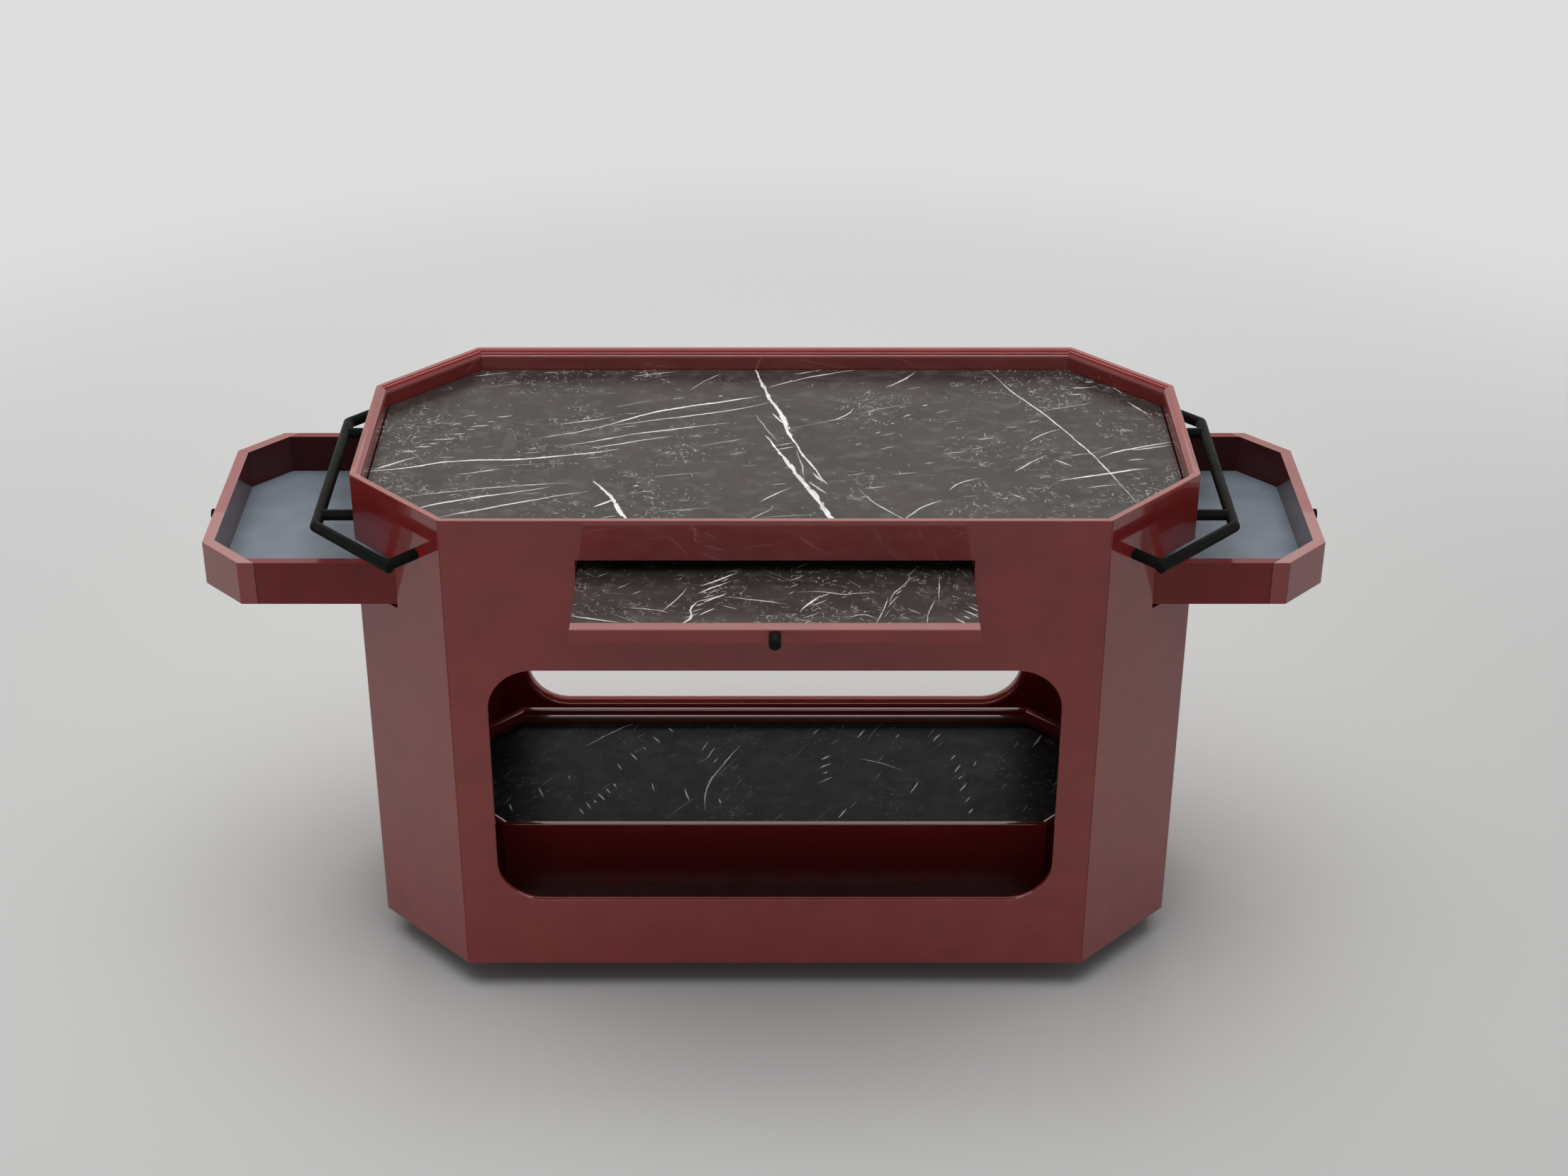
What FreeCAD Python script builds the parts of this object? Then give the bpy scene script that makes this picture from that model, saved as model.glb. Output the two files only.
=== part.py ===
"""Octagonal bar cart with two end drawers, a pull-out front shelf and a lower tray.

Millimetres, +Z up.  The origin is on the floor under the middle of the body, X runs along the
length and -Y is the front with the pull-out shelf.  The drawers and the shelf stand partly open.
"""
import FreeCAD
import Part
import math
import os

# Body shell: an upright octagon of mitred boards
body_width = 605.0
body_height = 800.0
ground_gap = 50.0
corner_cut = 147.5
panel_thickness = 18.0
edge_round = 1.2
rim_round = 13.0

# Stack of levels under the rim, from the top down
top_recess = 32.0
marble_thickness = 18.0
marble_gap = 1.0
marble_edge = 0.8
top_board_thickness = 16.0
shelf_headroom = 19.5
shelf_thickness = 22.0
shelf_reveal = 3.0
drawer_reveal = 5.5
drawer_height = 70.5
deck_drop = 2.0
deck_thickness = 18.0

# Rounded windows through the front and back panels
window_width = 864.0
window_stile = 56.5
window_sill = 124.5
window_lintel = 42.0
window_corner = 70.0

# Drawers in the two ends
drawer_width = 438.0
drawer_side_gap = 2.0
drawer_wall = 14.0
drawer_back_from_middle = 116.0
drawer_floor_thickness = 6.0
liner_thickness = 2.0
liner_gap = 0.2
left_drawer_open = 232.5
right_drawer_open = 198.5

# Pull-out shelf in the front
shelf_width = 579.0
shelf_side_gap = 1.5
shelf_depth = 420.0
shelf_lip = 20.0
shelf_marble_thickness = 12.0
shelf_open = 164.5

# Grooved runners, with a shoe on the moving side in each groove
runner_gap = 1.0
runner_width = 20.0
runner_end_gap = 1.0
runner_top_drop = 4.0
groove_depth = 9.0
groove_stop = 12.0
drawer_groove_height = 20.0
shelf_groove_height = 12.0
shoe_length = 100.0
shoe_setback = 4.0
slide_fit = 0.35

# Glide pads under the drawers and the shelf
pad_width = 40.0
pad_margin = 2.5
drawer_pad_spacing = 220.0
shelf_pad_spacing = 400.0

# Knobs on the drawers and the shelf
knob_diameter = 17.5
drawer_knob_length = 17.0
shelf_knob_length = 24.5
knob_round = 1.5
drawer_knob_drop = 34.0
stud_radius = 3.0
stud_length = 14.0
stud_fit = 0.1

# Tubular push handles at the two ends
handle_diameter = 17.5
handle_offset = 53.0
handle_drop = 77.0
handle_corner_bar = 172.0
handle_end_round = 1.0
standoff_diameter = 17.0
standoff_spacing = 279.0
handle_screw_radius = 3.0
handle_screw_reach = 16.0
handle_screw_fit = 0.1
screw_head_radius = 5.5
screw_head_height = 3.5

# Lower tray on the base board
base_thickness = 18.0
tray_inset = 127.0
tray_wall = 18.0
tray_height = 114.0
tray_recess = 20.0
tray_marble_thickness = 20.0
tray_board_thickness = 18.0

# Swivel casters, stacked up from the floor
wheel_diameter = 75.0
wheel_width = 24.0
wheel_round = 3.0
wheel_hub_radius = 14.0
wheel_dish = 3.0
axle_radius = 4.0
axle_head_radius = 7.0
axle_head_height = 3.0
running_fit = 0.06
wheel_top_gap = 4.0
rivet_head_height = 2.7
rivet_head_radius = 9.5
kingpin_radius = 6.0
swivel_gap = 0.3
crown_thickness = 5.7
crown_radius = 21.0
race_height = 7.5
race_radius = 20.0
plate_thickness = 2.5
plate_size = 66.0
plate_corner = 6.0
plate_hole_spacing = 50.0
caster_trail = 26.0
caster_from_side = 94.5
caster_from_corner = 75.0
fork_leg_thickness = 2.5
fork_side_gap = 1.2
fork_eye_radius = 12.0
caster_screw_radius = 2.0
caster_screw_reach = 13.0
caster_screw_fit = 0.1
caster_head_radius = 4.0
caster_head_height = 2.2

# Levels worked out from the stack
body_low = ground_gap
rim_top = body_low + body_height
marble_top = rim_top - top_recess
marble_low = marble_top - marble_thickness
top_board_low = marble_low - top_board_thickness
shelf_top = top_board_low - shelf_headroom
shelf_low = shelf_top - shelf_thickness
slot_low = shelf_low - shelf_reveal
drawer_top = slot_low - drawer_reveal
drawer_low = drawer_top - drawer_height
cutout_low = drawer_low - drawer_reveal
deck_top = cutout_low - deck_drop
deck_low = deck_top - deck_thickness
window_low = body_low + window_sill
window_high = deck_low - window_lintel
handle_level = rim_top - handle_drop
axle_level = wheel_diameter / 2
rivet_low = wheel_diameter + wheel_top_gap
crown_low = rivet_low + rivet_head_height + swivel_gap
crown_high = crown_low + crown_thickness
race_low = crown_high + swivel_gap
plate_low = race_low + race_height
base_low = plate_low + plate_thickness
base_top = base_low + base_thickness
tray_top = base_top + tray_height
tray_marble_top = tray_top - tray_recess
tray_marble_low = tray_marble_top - tray_marble_thickness

# Plan sizes worked out from the window, its stiles and the shell
body_length = window_width + 2 * (window_stile + corner_cut)
half_length = body_length / 2
half_width = body_width / 2
inner_half_length = half_length - panel_thickness
inner_half_width = half_width - panel_thickness
corner_sum = half_length + half_width - corner_cut
inner_corner_sum = corner_sum - panel_thickness * math.sqrt(2)
drawer_half = drawer_width / 2
shelf_half = shelf_width / 2
slot_half = shelf_half + shelf_side_gap

# Walls of the shell in order, counter-clockwise from the front
FRONT, FRONT_RIGHT, RIGHT, BACK_RIGHT, BACK, BACK_LEFT, LEFT, FRONT_LEFT = range(8)
WALL_COUNT = 8
X_AXIS = FreeCAD.Vector(1, 0, 0)
Y_AXIS = FreeCAD.Vector(0, 1, 0)
Z_AXIS = FreeCAD.Vector(0, 0, 1)
MIDDLE = FreeCAD.Vector(0, 0, 0)
TOLERANCE = 1e-4


def prism(outline, low, high):
    """Upright solid over a closed outline of (x, y) points."""
    corners = [FreeCAD.Vector(x, y, low) for x, y in outline]
    outline_wire = Part.makePolygon(corners + corners[:1])
    return Part.Face(outline_wire).extrude(Z_AXIS * (high - low))


def block(low, high):
    """Box between two opposite corners."""
    sizes = [end - start for start, end in zip(low, high)]
    return Part.makeBox(*sizes, FreeCAD.Vector(*low))


def rod(start, direction, length, radius):
    """Cylinder from a start point along a direction."""
    return Part.makeCylinder(radius, length, start, direction)


def mirrored(shape):
    """Copy of a shape on the other side of the middle of the length."""
    return shape.mirror(MIDDLE, X_AXIS)


def shifted(shape, x, y):
    """Copy of a shape moved level by x and y."""
    return shape.translated(FreeCAD.Vector(x, y, 0))


def edges_on_plane(shape, normal, distance):
    """Edges whose ends lie on the plane at a distance along a normal."""
    found = []
    for edge in shape.Edges:
        if all(abs(vertex.Point.dot(normal) - distance) < TOLERANCE for vertex in edge.Vertexes):
            found.append(edge)
    return found


def edges_along(shape, direction):
    """Straight edges that run along a direction."""
    found = []
    for edge in shape.Edges:
        if abs(edge.tangentAt(edge.FirstParameter).dot(direction)) > 1 - TOLERANCE:
            found.append(edge)
    return found


def octagon(inset):
    """Corners of the body's outline, set in by a distance, counter-clockwise from the front left."""
    shorten = inset * math.tan(math.pi / 8)
    long_x = half_length - inset
    long_y = half_width - inset
    short_x = half_length - corner_cut - shorten
    short_y = half_width - corner_cut - shorten
    right = [(short_x, -long_y), (long_x, -short_y), (long_x, short_y), (short_x, long_y)]
    left = [(-x, -y) for x, y in right]
    return left[3:] + right + left[:3]


def wall_normal(index):
    """Outward direction of a wall of the shell."""
    angle = (index - RIGHT) * math.pi / 4
    return FreeCAD.Vector(math.cos(angle), math.sin(angle), 0)


def wall_distance(index, inset):
    """Distance from the middle to a wall's face, set in from the body's outline."""
    if index in (LEFT, RIGHT):
        return half_length - inset
    if index in (FRONT, BACK):
        return half_width - inset
    return corner_sum / math.sqrt(2) - inset


def wall(index, inset, thickness, low, high):
    """One mitred board of an octagonal ring whose outer face is set in from the body's outline."""
    outer = octagon(inset)
    inner = octagon(inset + thickness)
    after = (index + 1) % WALL_COUNT
    return prism([outer[index], outer[after], inner[after], inner[index]], low, high)


def soften_outside(board, index):
    """Round a shell board's edges on its outer face."""
    edges = edges_on_plane(board, wall_normal(index), wall_distance(index, 0))
    return board.makeFillet(edge_round, edges)


def soften_rim(board, index, level, inset, radius):
    """Round the top edge of a wall on its face that is set in from the outline."""
    face = edges_on_plane(board, wall_normal(index), wall_distance(index, inset))
    top = [edge for edge in face if abs(edge.CenterOfMass.z - level) < TOLERANCE]
    return board.makeFillet(radius, top)


def body_wall(index, low):
    """Full-thickness wall of the body from a level up to the rounded rim."""
    board = wall(index, 0, panel_thickness, low, rim_top)
    return soften_rim(board, index, rim_top, panel_thickness, rim_round)


def window(index):
    """Cutter for the rounded window in the front or back panel."""
    side = wall_normal(index).y
    face = side * half_width
    faces = sorted((face - side * 2 * panel_thickness, face + side * panel_thickness))
    low = (-window_width / 2, faces[0], window_low)
    high = (window_width / 2, faces[1], window_high)
    cutter = block(low, high)
    return cutter.makeFillet(window_corner, edges_along(cutter, Y_AXIS))


def window_panel(index):
    """Front or back panel with its window, rounded inside as the rim is."""
    board = body_wall(index, body_low).cut(window(index))
    inner_face = edges_on_plane(board, wall_normal(index), wall_distance(index, panel_thickness))
    around = []
    for edge in inner_face:
        middle = edge.CenterOfMass
        within = abs(middle.x) < window_width / 2 + TOLERANCE
        if within and window_low - TOLERANCE < middle.z < window_high + TOLERANCE:
            around.append(edge)
    return board.makeFillet(rim_round, around)


def front_panel():
    """Front panel with the window and the slot for the pull-out shelf."""
    slot = block((-slot_half, -half_width - panel_thickness, slot_low),
                 (slot_half, -inner_half_width + panel_thickness, top_board_low))
    return soften_outside(window_panel(FRONT).cut(slot), FRONT)


def corner_panel(index):
    """Corner panel, notched for the drawer and drilled for the handle's foot."""
    side = 1 if index in (FRONT_RIGHT, BACK_RIGHT) else -1
    reach = sorted((side * inner_half_length / 2, side * body_length))
    cut_half = drawer_half + drawer_side_gap
    notch = block((reach[0], -cut_half, cutout_low), (reach[1], cut_half, slot_low))
    board = soften_outside(body_wall(index, body_low).cut(notch), index)
    return board.cut(screw_hole(corner_foot(index), wall_normal(index)))


def end_upper_panel(index):
    """End panel above the drawer, drilled for the handle's standoffs."""
    board = soften_outside(body_wall(index, slot_low), index)
    for foot in standoff_feet(index):
        board = board.cut(screw_hole(foot, wall_normal(index)))
    return board


def end_lower_panel(index):
    """End panel below the drawer."""
    return soften_outside(wall(index, 0, panel_thickness, body_low, cutout_low), index)


def inner_board(low, high, margin):
    """Level board or slab that fills the shell, with a margin to its walls."""
    return prism(octagon(panel_thickness + margin), low, high)


def eased_slab(slab, level, size):
    """Stone slab with a small bevel round its top face."""
    return slab.makeChamfer(size, edges_on_plane(slab, Z_AXIS, level))


def base_board():
    """Base board under the tray, drilled for the caster screws."""
    board = inner_board(base_low, base_top, 0)
    for x, y in caster_places():
        for hole_x, hole_y in plate_holes(x, y):
            start = FreeCAD.Vector(hole_x, hole_y, base_low)
            radius = caster_screw_radius + caster_screw_fit
            board = board.cut(rod(start, Z_AXIS, caster_screw_reach + caster_screw_fit, radius))
    return board


def tray_walls():
    """Eight mitred walls of the lower tray, rounded inside as the rim is."""
    walls = []
    for index in range(WALL_COUNT):
        board = wall(index, tray_inset, tray_wall, base_top, tray_top)
        board = soften_rim(board, index, tray_top, tray_inset + tray_wall, rim_round)
        walls.append(soften_rim(board, index, tray_top, tray_inset, edge_round))
    return Part.makeCompound(walls)


def tray_level(low, high, margin):
    """Board or slab inside the lower tray."""
    return prism(octagon(tray_inset + tray_wall + margin), low, high)


def corner_foot(index):
    """Point on a corner panel's outer face where the handle's end meets it."""
    side_x = 1 if index in (FRONT_RIGHT, BACK_RIGHT) else -1
    side_y = 1 if index in (BACK_RIGHT, BACK_LEFT) else -1
    bend_y = half_width - corner_cut + handle_offset * math.tan(math.pi / 8)
    run = handle_corner_bar / math.sqrt(2)
    drop = handle_offset / math.sqrt(2)
    x = half_length + handle_offset - run - drop
    return FreeCAD.Vector(side_x * x, side_y * (bend_y + run - drop), handle_level)


def standoff_feet(index):
    """Points on an end panel's outer face where the handle's two standoffs meet it."""
    x = wall_normal(index).x * half_length
    half = standoff_spacing / 2
    return [FreeCAD.Vector(x, -half, handle_level), FreeCAD.Vector(x, half, handle_level)]


def screw_hole(foot, normal):
    """Cutter for a handle screw's hole through a panel."""
    start = foot - normal * (2 * panel_thickness)
    return rod(start, normal, 3 * panel_thickness, handle_screw_radius + handle_screw_fit)


def handle_screw(foot, normal):
    """Screw from inside the body through a panel into a handle's foot."""
    seat = foot - normal * panel_thickness
    shank = rod(seat, normal, panel_thickness + handle_screw_reach, handle_screw_radius)
    head = rod(seat - normal * screw_head_height, normal, screw_head_height, screw_head_radius)
    return shank.fuse(head).removeSplitter()


def handle_feet(index, front, back):
    """Feet of one handle with the directions that they face."""
    feet = [(corner_foot(front), wall_normal(front)), (corner_foot(back), wall_normal(back))]
    return feet + [(foot, wall_normal(index)) for foot in standoff_feet(index)]


def bar_end(index, bend):
    """End of the slanted bar that leaves a bend, just past the foot that carries it."""
    elbow = corner_foot(index) + wall_normal(index) * handle_offset
    run = elbow - bend
    return elbow + run * (handle_diameter / 2 / run.Length)


def right_handle():
    """Handle at the right end: a mitred tube with blunt ends, carried by four straight feet."""
    end_x = half_length + handle_offset
    bend_y = half_width - corner_cut + handle_offset * math.tan(math.pi / 8)
    front_bend = FreeCAD.Vector(end_x, -bend_y, handle_level)
    back_bend = FreeCAD.Vector(end_x, bend_y, handle_level)
    front_end = bar_end(FRONT_RIGHT, front_bend)
    back_end = bar_end(BACK_RIGHT, back_bend)
    path = Part.makePolygon([front_end, front_bend, back_bend, back_end])
    ring = Part.Wire(Part.makeCircle(handle_diameter / 2, front_end, front_bend - front_end))
    tube = path.makePipeShell([ring], True, False, 1)
    caps = [edge for edge in tube.Edges
            if any((edge.CenterOfMass - end).Length < TOLERANCE for end in (front_end, back_end))]
    tube = tube.makeFillet(handle_end_round, caps)
    bore = handle_screw_radius + handle_screw_fit
    for foot, normal in handle_feet(RIGHT, FRONT_RIGHT, BACK_RIGHT):
        tube = tube.fuse(rod(foot, normal, handle_offset, standoff_diameter / 2))
        tube = tube.cut(rod(foot, normal, handle_screw_reach + handle_screw_fit, bore))
    return tube.removeSplitter()


def handle_screws():
    """All the screws that hold the two handles."""
    right = [handle_screw(*foot) for foot in handle_feet(RIGHT, FRONT_RIGHT, BACK_RIGHT)]
    return Part.makeCompound(right + [mirrored(screw) for screw in right])


def knob(seat, direction, length):
    """Round knob on a seat, with a stud into the board behind it."""
    body = rod(seat, direction, length, knob_diameter / 2)
    far_face = seat.dot(direction) + length
    body = body.makeFillet(knob_round, edges_on_plane(body, direction, far_face))
    return body.fuse(rod(seat - direction * stud_length, direction, stud_length, stud_radius))


def stud_hole(seat, direction):
    """Cutter for a knob's stud."""
    start = seat - direction * (stud_length + stud_fit)
    return rod(start, direction, 2 * stud_length, stud_radius + stud_fit)


def drawer_floor(low, high, margin):
    """Floor or lining inside the right drawer, with a margin to its walls."""
    half = drawer_half - drawer_wall - margin
    front_x = inner_half_length - margin
    corner = inner_corner_sum - margin * math.sqrt(2)
    back_x = drawer_back_from_middle + drawer_wall + margin
    upper = [(front_x, corner - front_x), (corner - half, half), (back_x, half)]
    lower = [(x, -y) for x, y in reversed(upper)]
    return prism(upper + lower, low, high)


def drawer_side(sign):
    """Straight side of the right drawer, cut to meet the corner board."""
    outer = drawer_half
    inner = drawer_half - drawer_wall
    back_x = drawer_back_from_middle
    outline = [(back_x, outer), (back_x, inner), (inner_corner_sum - inner, inner),
               (inner_corner_sum - outer, outer)]
    return prism([(x, sign * y) for x, y in outline], drawer_low, drawer_top)


def drawer_corner(index):
    """Slanted front board of the right drawer, a piece of the shell's corner."""
    board = wall(index, 0, panel_thickness, drawer_low, drawer_top)
    keep = block((0, -drawer_half, drawer_low), (body_length, drawer_half, drawer_top))
    return soften_outside(board.common(keep), index)


def drawer_shoe(sign):
    """Shoe on the back of a drawer side that slides in the runner's groove."""
    middle = (drawer_low + drawer_top) / 2
    half_height = drawer_groove_height / 2 - slide_fit
    start = drawer_back_from_middle + shoe_setback
    reach = drawer_half + runner_gap + groove_depth - slide_fit
    sides = sorted((sign * drawer_half, sign * reach))
    return block((start, sides[0], middle - half_height), (start + shoe_length, sides[1], middle + half_height))


def drawer_runner(sign):
    """Grooved runner on the deck beside the right drawer."""
    inner = drawer_half + runner_gap
    outer = inner + runner_width
    front_x = inner_corner_sum - outer - runner_end_gap
    sides = sorted((sign * inner, sign * outer))
    bar = block((drawer_back_from_middle - groove_stop, sides[0], deck_top),
                (front_x, sides[1], drawer_top - runner_top_drop))
    middle = (drawer_low + drawer_top) / 2
    cut = sorted((sign * (inner - runner_gap), sign * (inner + groove_depth)))
    groove = block((drawer_back_from_middle + shoe_setback - slide_fit, cut[0], middle - drawer_groove_height / 2),
                   (front_x - groove_stop, cut[1], middle + drawer_groove_height / 2))
    return bar.cut(groove)


def right_drawer():
    """Pieces of the right drawer, closed."""
    seat = FreeCAD.Vector(half_length, 0, drawer_top - drawer_knob_drop)
    floor_top = drawer_low + drawer_floor_thickness
    inner_half = drawer_half - drawer_wall
    front = soften_outside(wall(RIGHT, 0, panel_thickness, drawer_low, drawer_top), RIGHT)
    back = block((drawer_back_from_middle, -inner_half, drawer_low),
                 (drawer_back_from_middle + drawer_wall, inner_half, drawer_top))
    return {
        "front": front.cut(stud_hole(seat, X_AXIS)),
        "corner_boards": Part.makeCompound([drawer_corner(FRONT_RIGHT), drawer_corner(BACK_RIGHT)]),
        "sides": Part.makeCompound([drawer_side(-1), drawer_side(1)]),
        "back": back,
        "floor": drawer_floor(drawer_low, floor_top, 0),
        "liner": drawer_floor(floor_top, floor_top + liner_thickness, liner_gap),
        "knob": knob(seat, X_AXIS, drawer_knob_length),
        "shoes": Part.makeCompound([drawer_shoe(-1), drawer_shoe(1)]),
    }


def shelf_shoe(sign):
    """Shoe on the back of a shelf side that slides in the runner's groove."""
    middle = (shelf_low + shelf_top) / 2
    half_height = shelf_groove_height / 2 - slide_fit
    end_y = shelf_depth - half_width - shoe_setback
    reach = shelf_half + runner_gap + groove_depth - slide_fit
    sides = sorted((sign * shelf_half, sign * reach))
    return block((sides[0], end_y - shoe_length, middle - half_height), (sides[1], end_y, middle + half_height))


def shelf_runner(sign):
    """Grooved runner under the top board beside the shelf."""
    inner = shelf_half + runner_gap
    outer = inner + runner_width
    front_y = runner_end_gap - inner_half_width
    end_y = shelf_depth - half_width
    sides = sorted((sign * inner, sign * outer))
    bar = block((sides[0], front_y, slot_low), (sides[1], end_y + groove_stop, top_board_low))
    middle = (shelf_low + shelf_top) / 2
    cut = sorted((sign * (inner - runner_gap), sign * (inner + groove_depth)))
    groove = block((cut[0], front_y + groove_stop, middle - shelf_groove_height / 2),
                   (cut[1], end_y - shoe_setback + slide_fit, middle + shelf_groove_height / 2))
    return bar.cut(groove)


def shelf():
    """Pieces of the pull-out shelf, closed."""
    lip_back = shelf_lip - half_width
    end_y = shelf_depth - half_width
    stone_low = shelf_top - shelf_marble_thickness
    seat = FreeCAD.Vector(0, -half_width, (shelf_low + shelf_top) / 2)
    toward = -Y_AXIS
    lip = soften_outside(block((-shelf_half, -half_width, shelf_low), (shelf_half, lip_back, shelf_top)), FRONT)
    stone = block((-shelf_half, lip_back, stone_low), (shelf_half, end_y, shelf_top))
    return {
        "lip": lip.cut(stud_hole(seat, toward)),
        "board": block((-shelf_half, lip_back, shelf_low), (shelf_half, end_y, stone_low)),
        "marble": eased_slab(stone, shelf_top, marble_edge),
        "knob": knob(seat, toward, shelf_knob_length),
        "shoes": Part.makeCompound([shelf_shoe(-1), shelf_shoe(1)]),
    }


def drawer_pads():
    """Glide pads on the lower end panels that carry the fronts of the drawers."""
    pads = []
    for sign in (-1, 1):
        middle = sign * drawer_pad_spacing / 2
        low = (inner_half_length + pad_margin, middle - pad_width / 2, cutout_low)
        high = (half_length - pad_margin, middle + pad_width / 2, drawer_low - slide_fit)
        pads.append(block(low, high))
    return Part.makeCompound(pads + [mirrored(pad) for pad in pads])


def shelf_pads():
    """Glide pads on the slot's lower edge that carry the front of the shelf."""
    pads = []
    for sign in (-1, 1):
        middle = sign * shelf_pad_spacing / 2
        low = (middle - pad_width / 2, pad_margin - half_width, slot_low)
        high = (middle + pad_width / 2, -inner_half_width - pad_margin, shelf_low - slide_fit)
        pads.append(block(low, high))
    return Part.makeCompound(pads)


def caster_places():
    """Middles of the four casters: front left, front right, back left and back right."""
    y = inner_half_width - caster_from_side
    x = inner_corner_sum - caster_from_corner * math.sqrt(2) - y
    return [(-x, -y), (x, -y), (-x, y), (x, y)]


def plate_holes(x, y):
    """Middles of a caster plate's screw holes."""
    half = plate_hole_spacing / 2
    return [(x + sx * half, y + sy * half) for sx in (-1, 1) for sy in (-1, 1)]


def caster_plate(x, y):
    """Plate of a caster with its race and kingpin."""
    half = plate_size / 2
    plate = block((x - half, y - half, plate_low), (x + half, y + half, base_low))
    plate = plate.makeFillet(plate_corner, edges_along(plate, Z_AXIS))
    for hole_x, hole_y in plate_holes(x, y):
        start = FreeCAD.Vector(hole_x, hole_y, plate_low)
        plate = plate.cut(rod(start, Z_AXIS, plate_thickness, caster_screw_radius + caster_screw_fit))
    race = rod(FreeCAD.Vector(x, y, race_low), Z_AXIS, race_height, race_radius)
    pin = rod(FreeCAD.Vector(x, y, rivet_low), Z_AXIS, race_low - rivet_low, kingpin_radius)
    head = rod(FreeCAD.Vector(x, y, rivet_low), Z_AXIS, rivet_head_height, rivet_head_radius)
    return plate.fuse([race, pin, head]).removeSplitter()


def caster_screws(x, y):
    """Screws through a caster's plate into the base board."""
    screws = []
    for hole_x, hole_y in plate_holes(x, y):
        seat = FreeCAD.Vector(hole_x, hole_y, plate_low)
        shank = rod(seat, Z_AXIS, plate_thickness + caster_screw_reach, caster_screw_radius)
        head = rod(seat - Z_AXIS * caster_head_height, Z_AXIS, caster_head_height, caster_head_radius)
        screws.append(shank.fuse(head).removeSplitter())
    return screws


def fork_leg(x, y, inner_y, outer_y):
    """One leg of a fork, from the crown down to the axle's eye."""
    eye_x = x + caster_trail
    low_y, high_y = sorted((y + inner_y, y + outer_y))
    outline = [(x - crown_radius / 2, crown_high), (x + crown_radius / 2, crown_high),
               (eye_x + fork_eye_radius, axle_level), (eye_x - fork_eye_radius, axle_level),
               (x - crown_radius / 2, crown_low - crown_thickness)]
    corners = [FreeCAD.Vector(point_x, low_y, point_z) for point_x, point_z in outline]
    web = Part.Face(Part.makePolygon(corners + corners[:1])).extrude(Y_AXIS * (high_y - low_y))
    eye = rod(FreeCAD.Vector(eye_x, low_y, axle_level), Y_AXIS, high_y - low_y, fork_eye_radius)
    return web.fuse(eye)


def fork(x, y):
    """Swivelling fork of a caster."""
    inner = wheel_width / 2 + fork_side_gap
    outer = inner + fork_leg_thickness
    crown = rod(FreeCAD.Vector(x, y, crown_low), Z_AXIS, crown_thickness, crown_radius)
    body = crown.fuse([fork_leg(x, y, -inner, -outer), fork_leg(x, y, inner, outer)])
    pin_hole = rod(FreeCAD.Vector(x, y, crown_low), Z_AXIS, crown_thickness, kingpin_radius + running_fit)
    axle_start = FreeCAD.Vector(x + caster_trail, y - outer, axle_level)
    axle_hole = rod(axle_start, Y_AXIS, 2 * outer, axle_radius + running_fit)
    return body.cut([pin_hole, axle_hole]).removeSplitter()


def axle(x, y):
    """Riveted axle through a fork's eyes."""
    outer = wheel_width / 2 + fork_side_gap + fork_leg_thickness
    middle = FreeCAD.Vector(x + caster_trail, y, axle_level)
    pin = rod(middle - Y_AXIS * outer, Y_AXIS, 2 * outer, axle_radius)
    near_head = rod(middle - Y_AXIS * (outer + axle_head_height), Y_AXIS, axle_head_height, axle_head_radius)
    far_head = rod(middle + Y_AXIS * outer, Y_AXIS, axle_head_height, axle_head_radius)
    return pin.fuse([near_head, far_head]).removeSplitter()


def wheel(x, y):
    """Caster wheel with a rounded tread and dished sides round the hub."""
    half = wheel_width / 2
    radius = wheel_diameter / 2
    middle = FreeCAD.Vector(x + caster_trail, y, axle_level)
    near = middle - Y_AXIS * half
    body = rod(near, Y_AXIS, wheel_width, radius)
    body = body.makeFillet(wheel_round, body.Edges)
    dish_radius = (radius + wheel_hub_radius) / 2 + wheel_round
    for start in (near, middle + Y_AXIS * (half - wheel_dish)):
        dish = rod(start, Y_AXIS, wheel_dish, dish_radius).cut(rod(start, Y_AXIS, wheel_dish, wheel_hub_radius))
        body = body.cut(dish)
    return body.cut(rod(near, Y_AXIS, wheel_width, axle_radius + running_fit))


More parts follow.
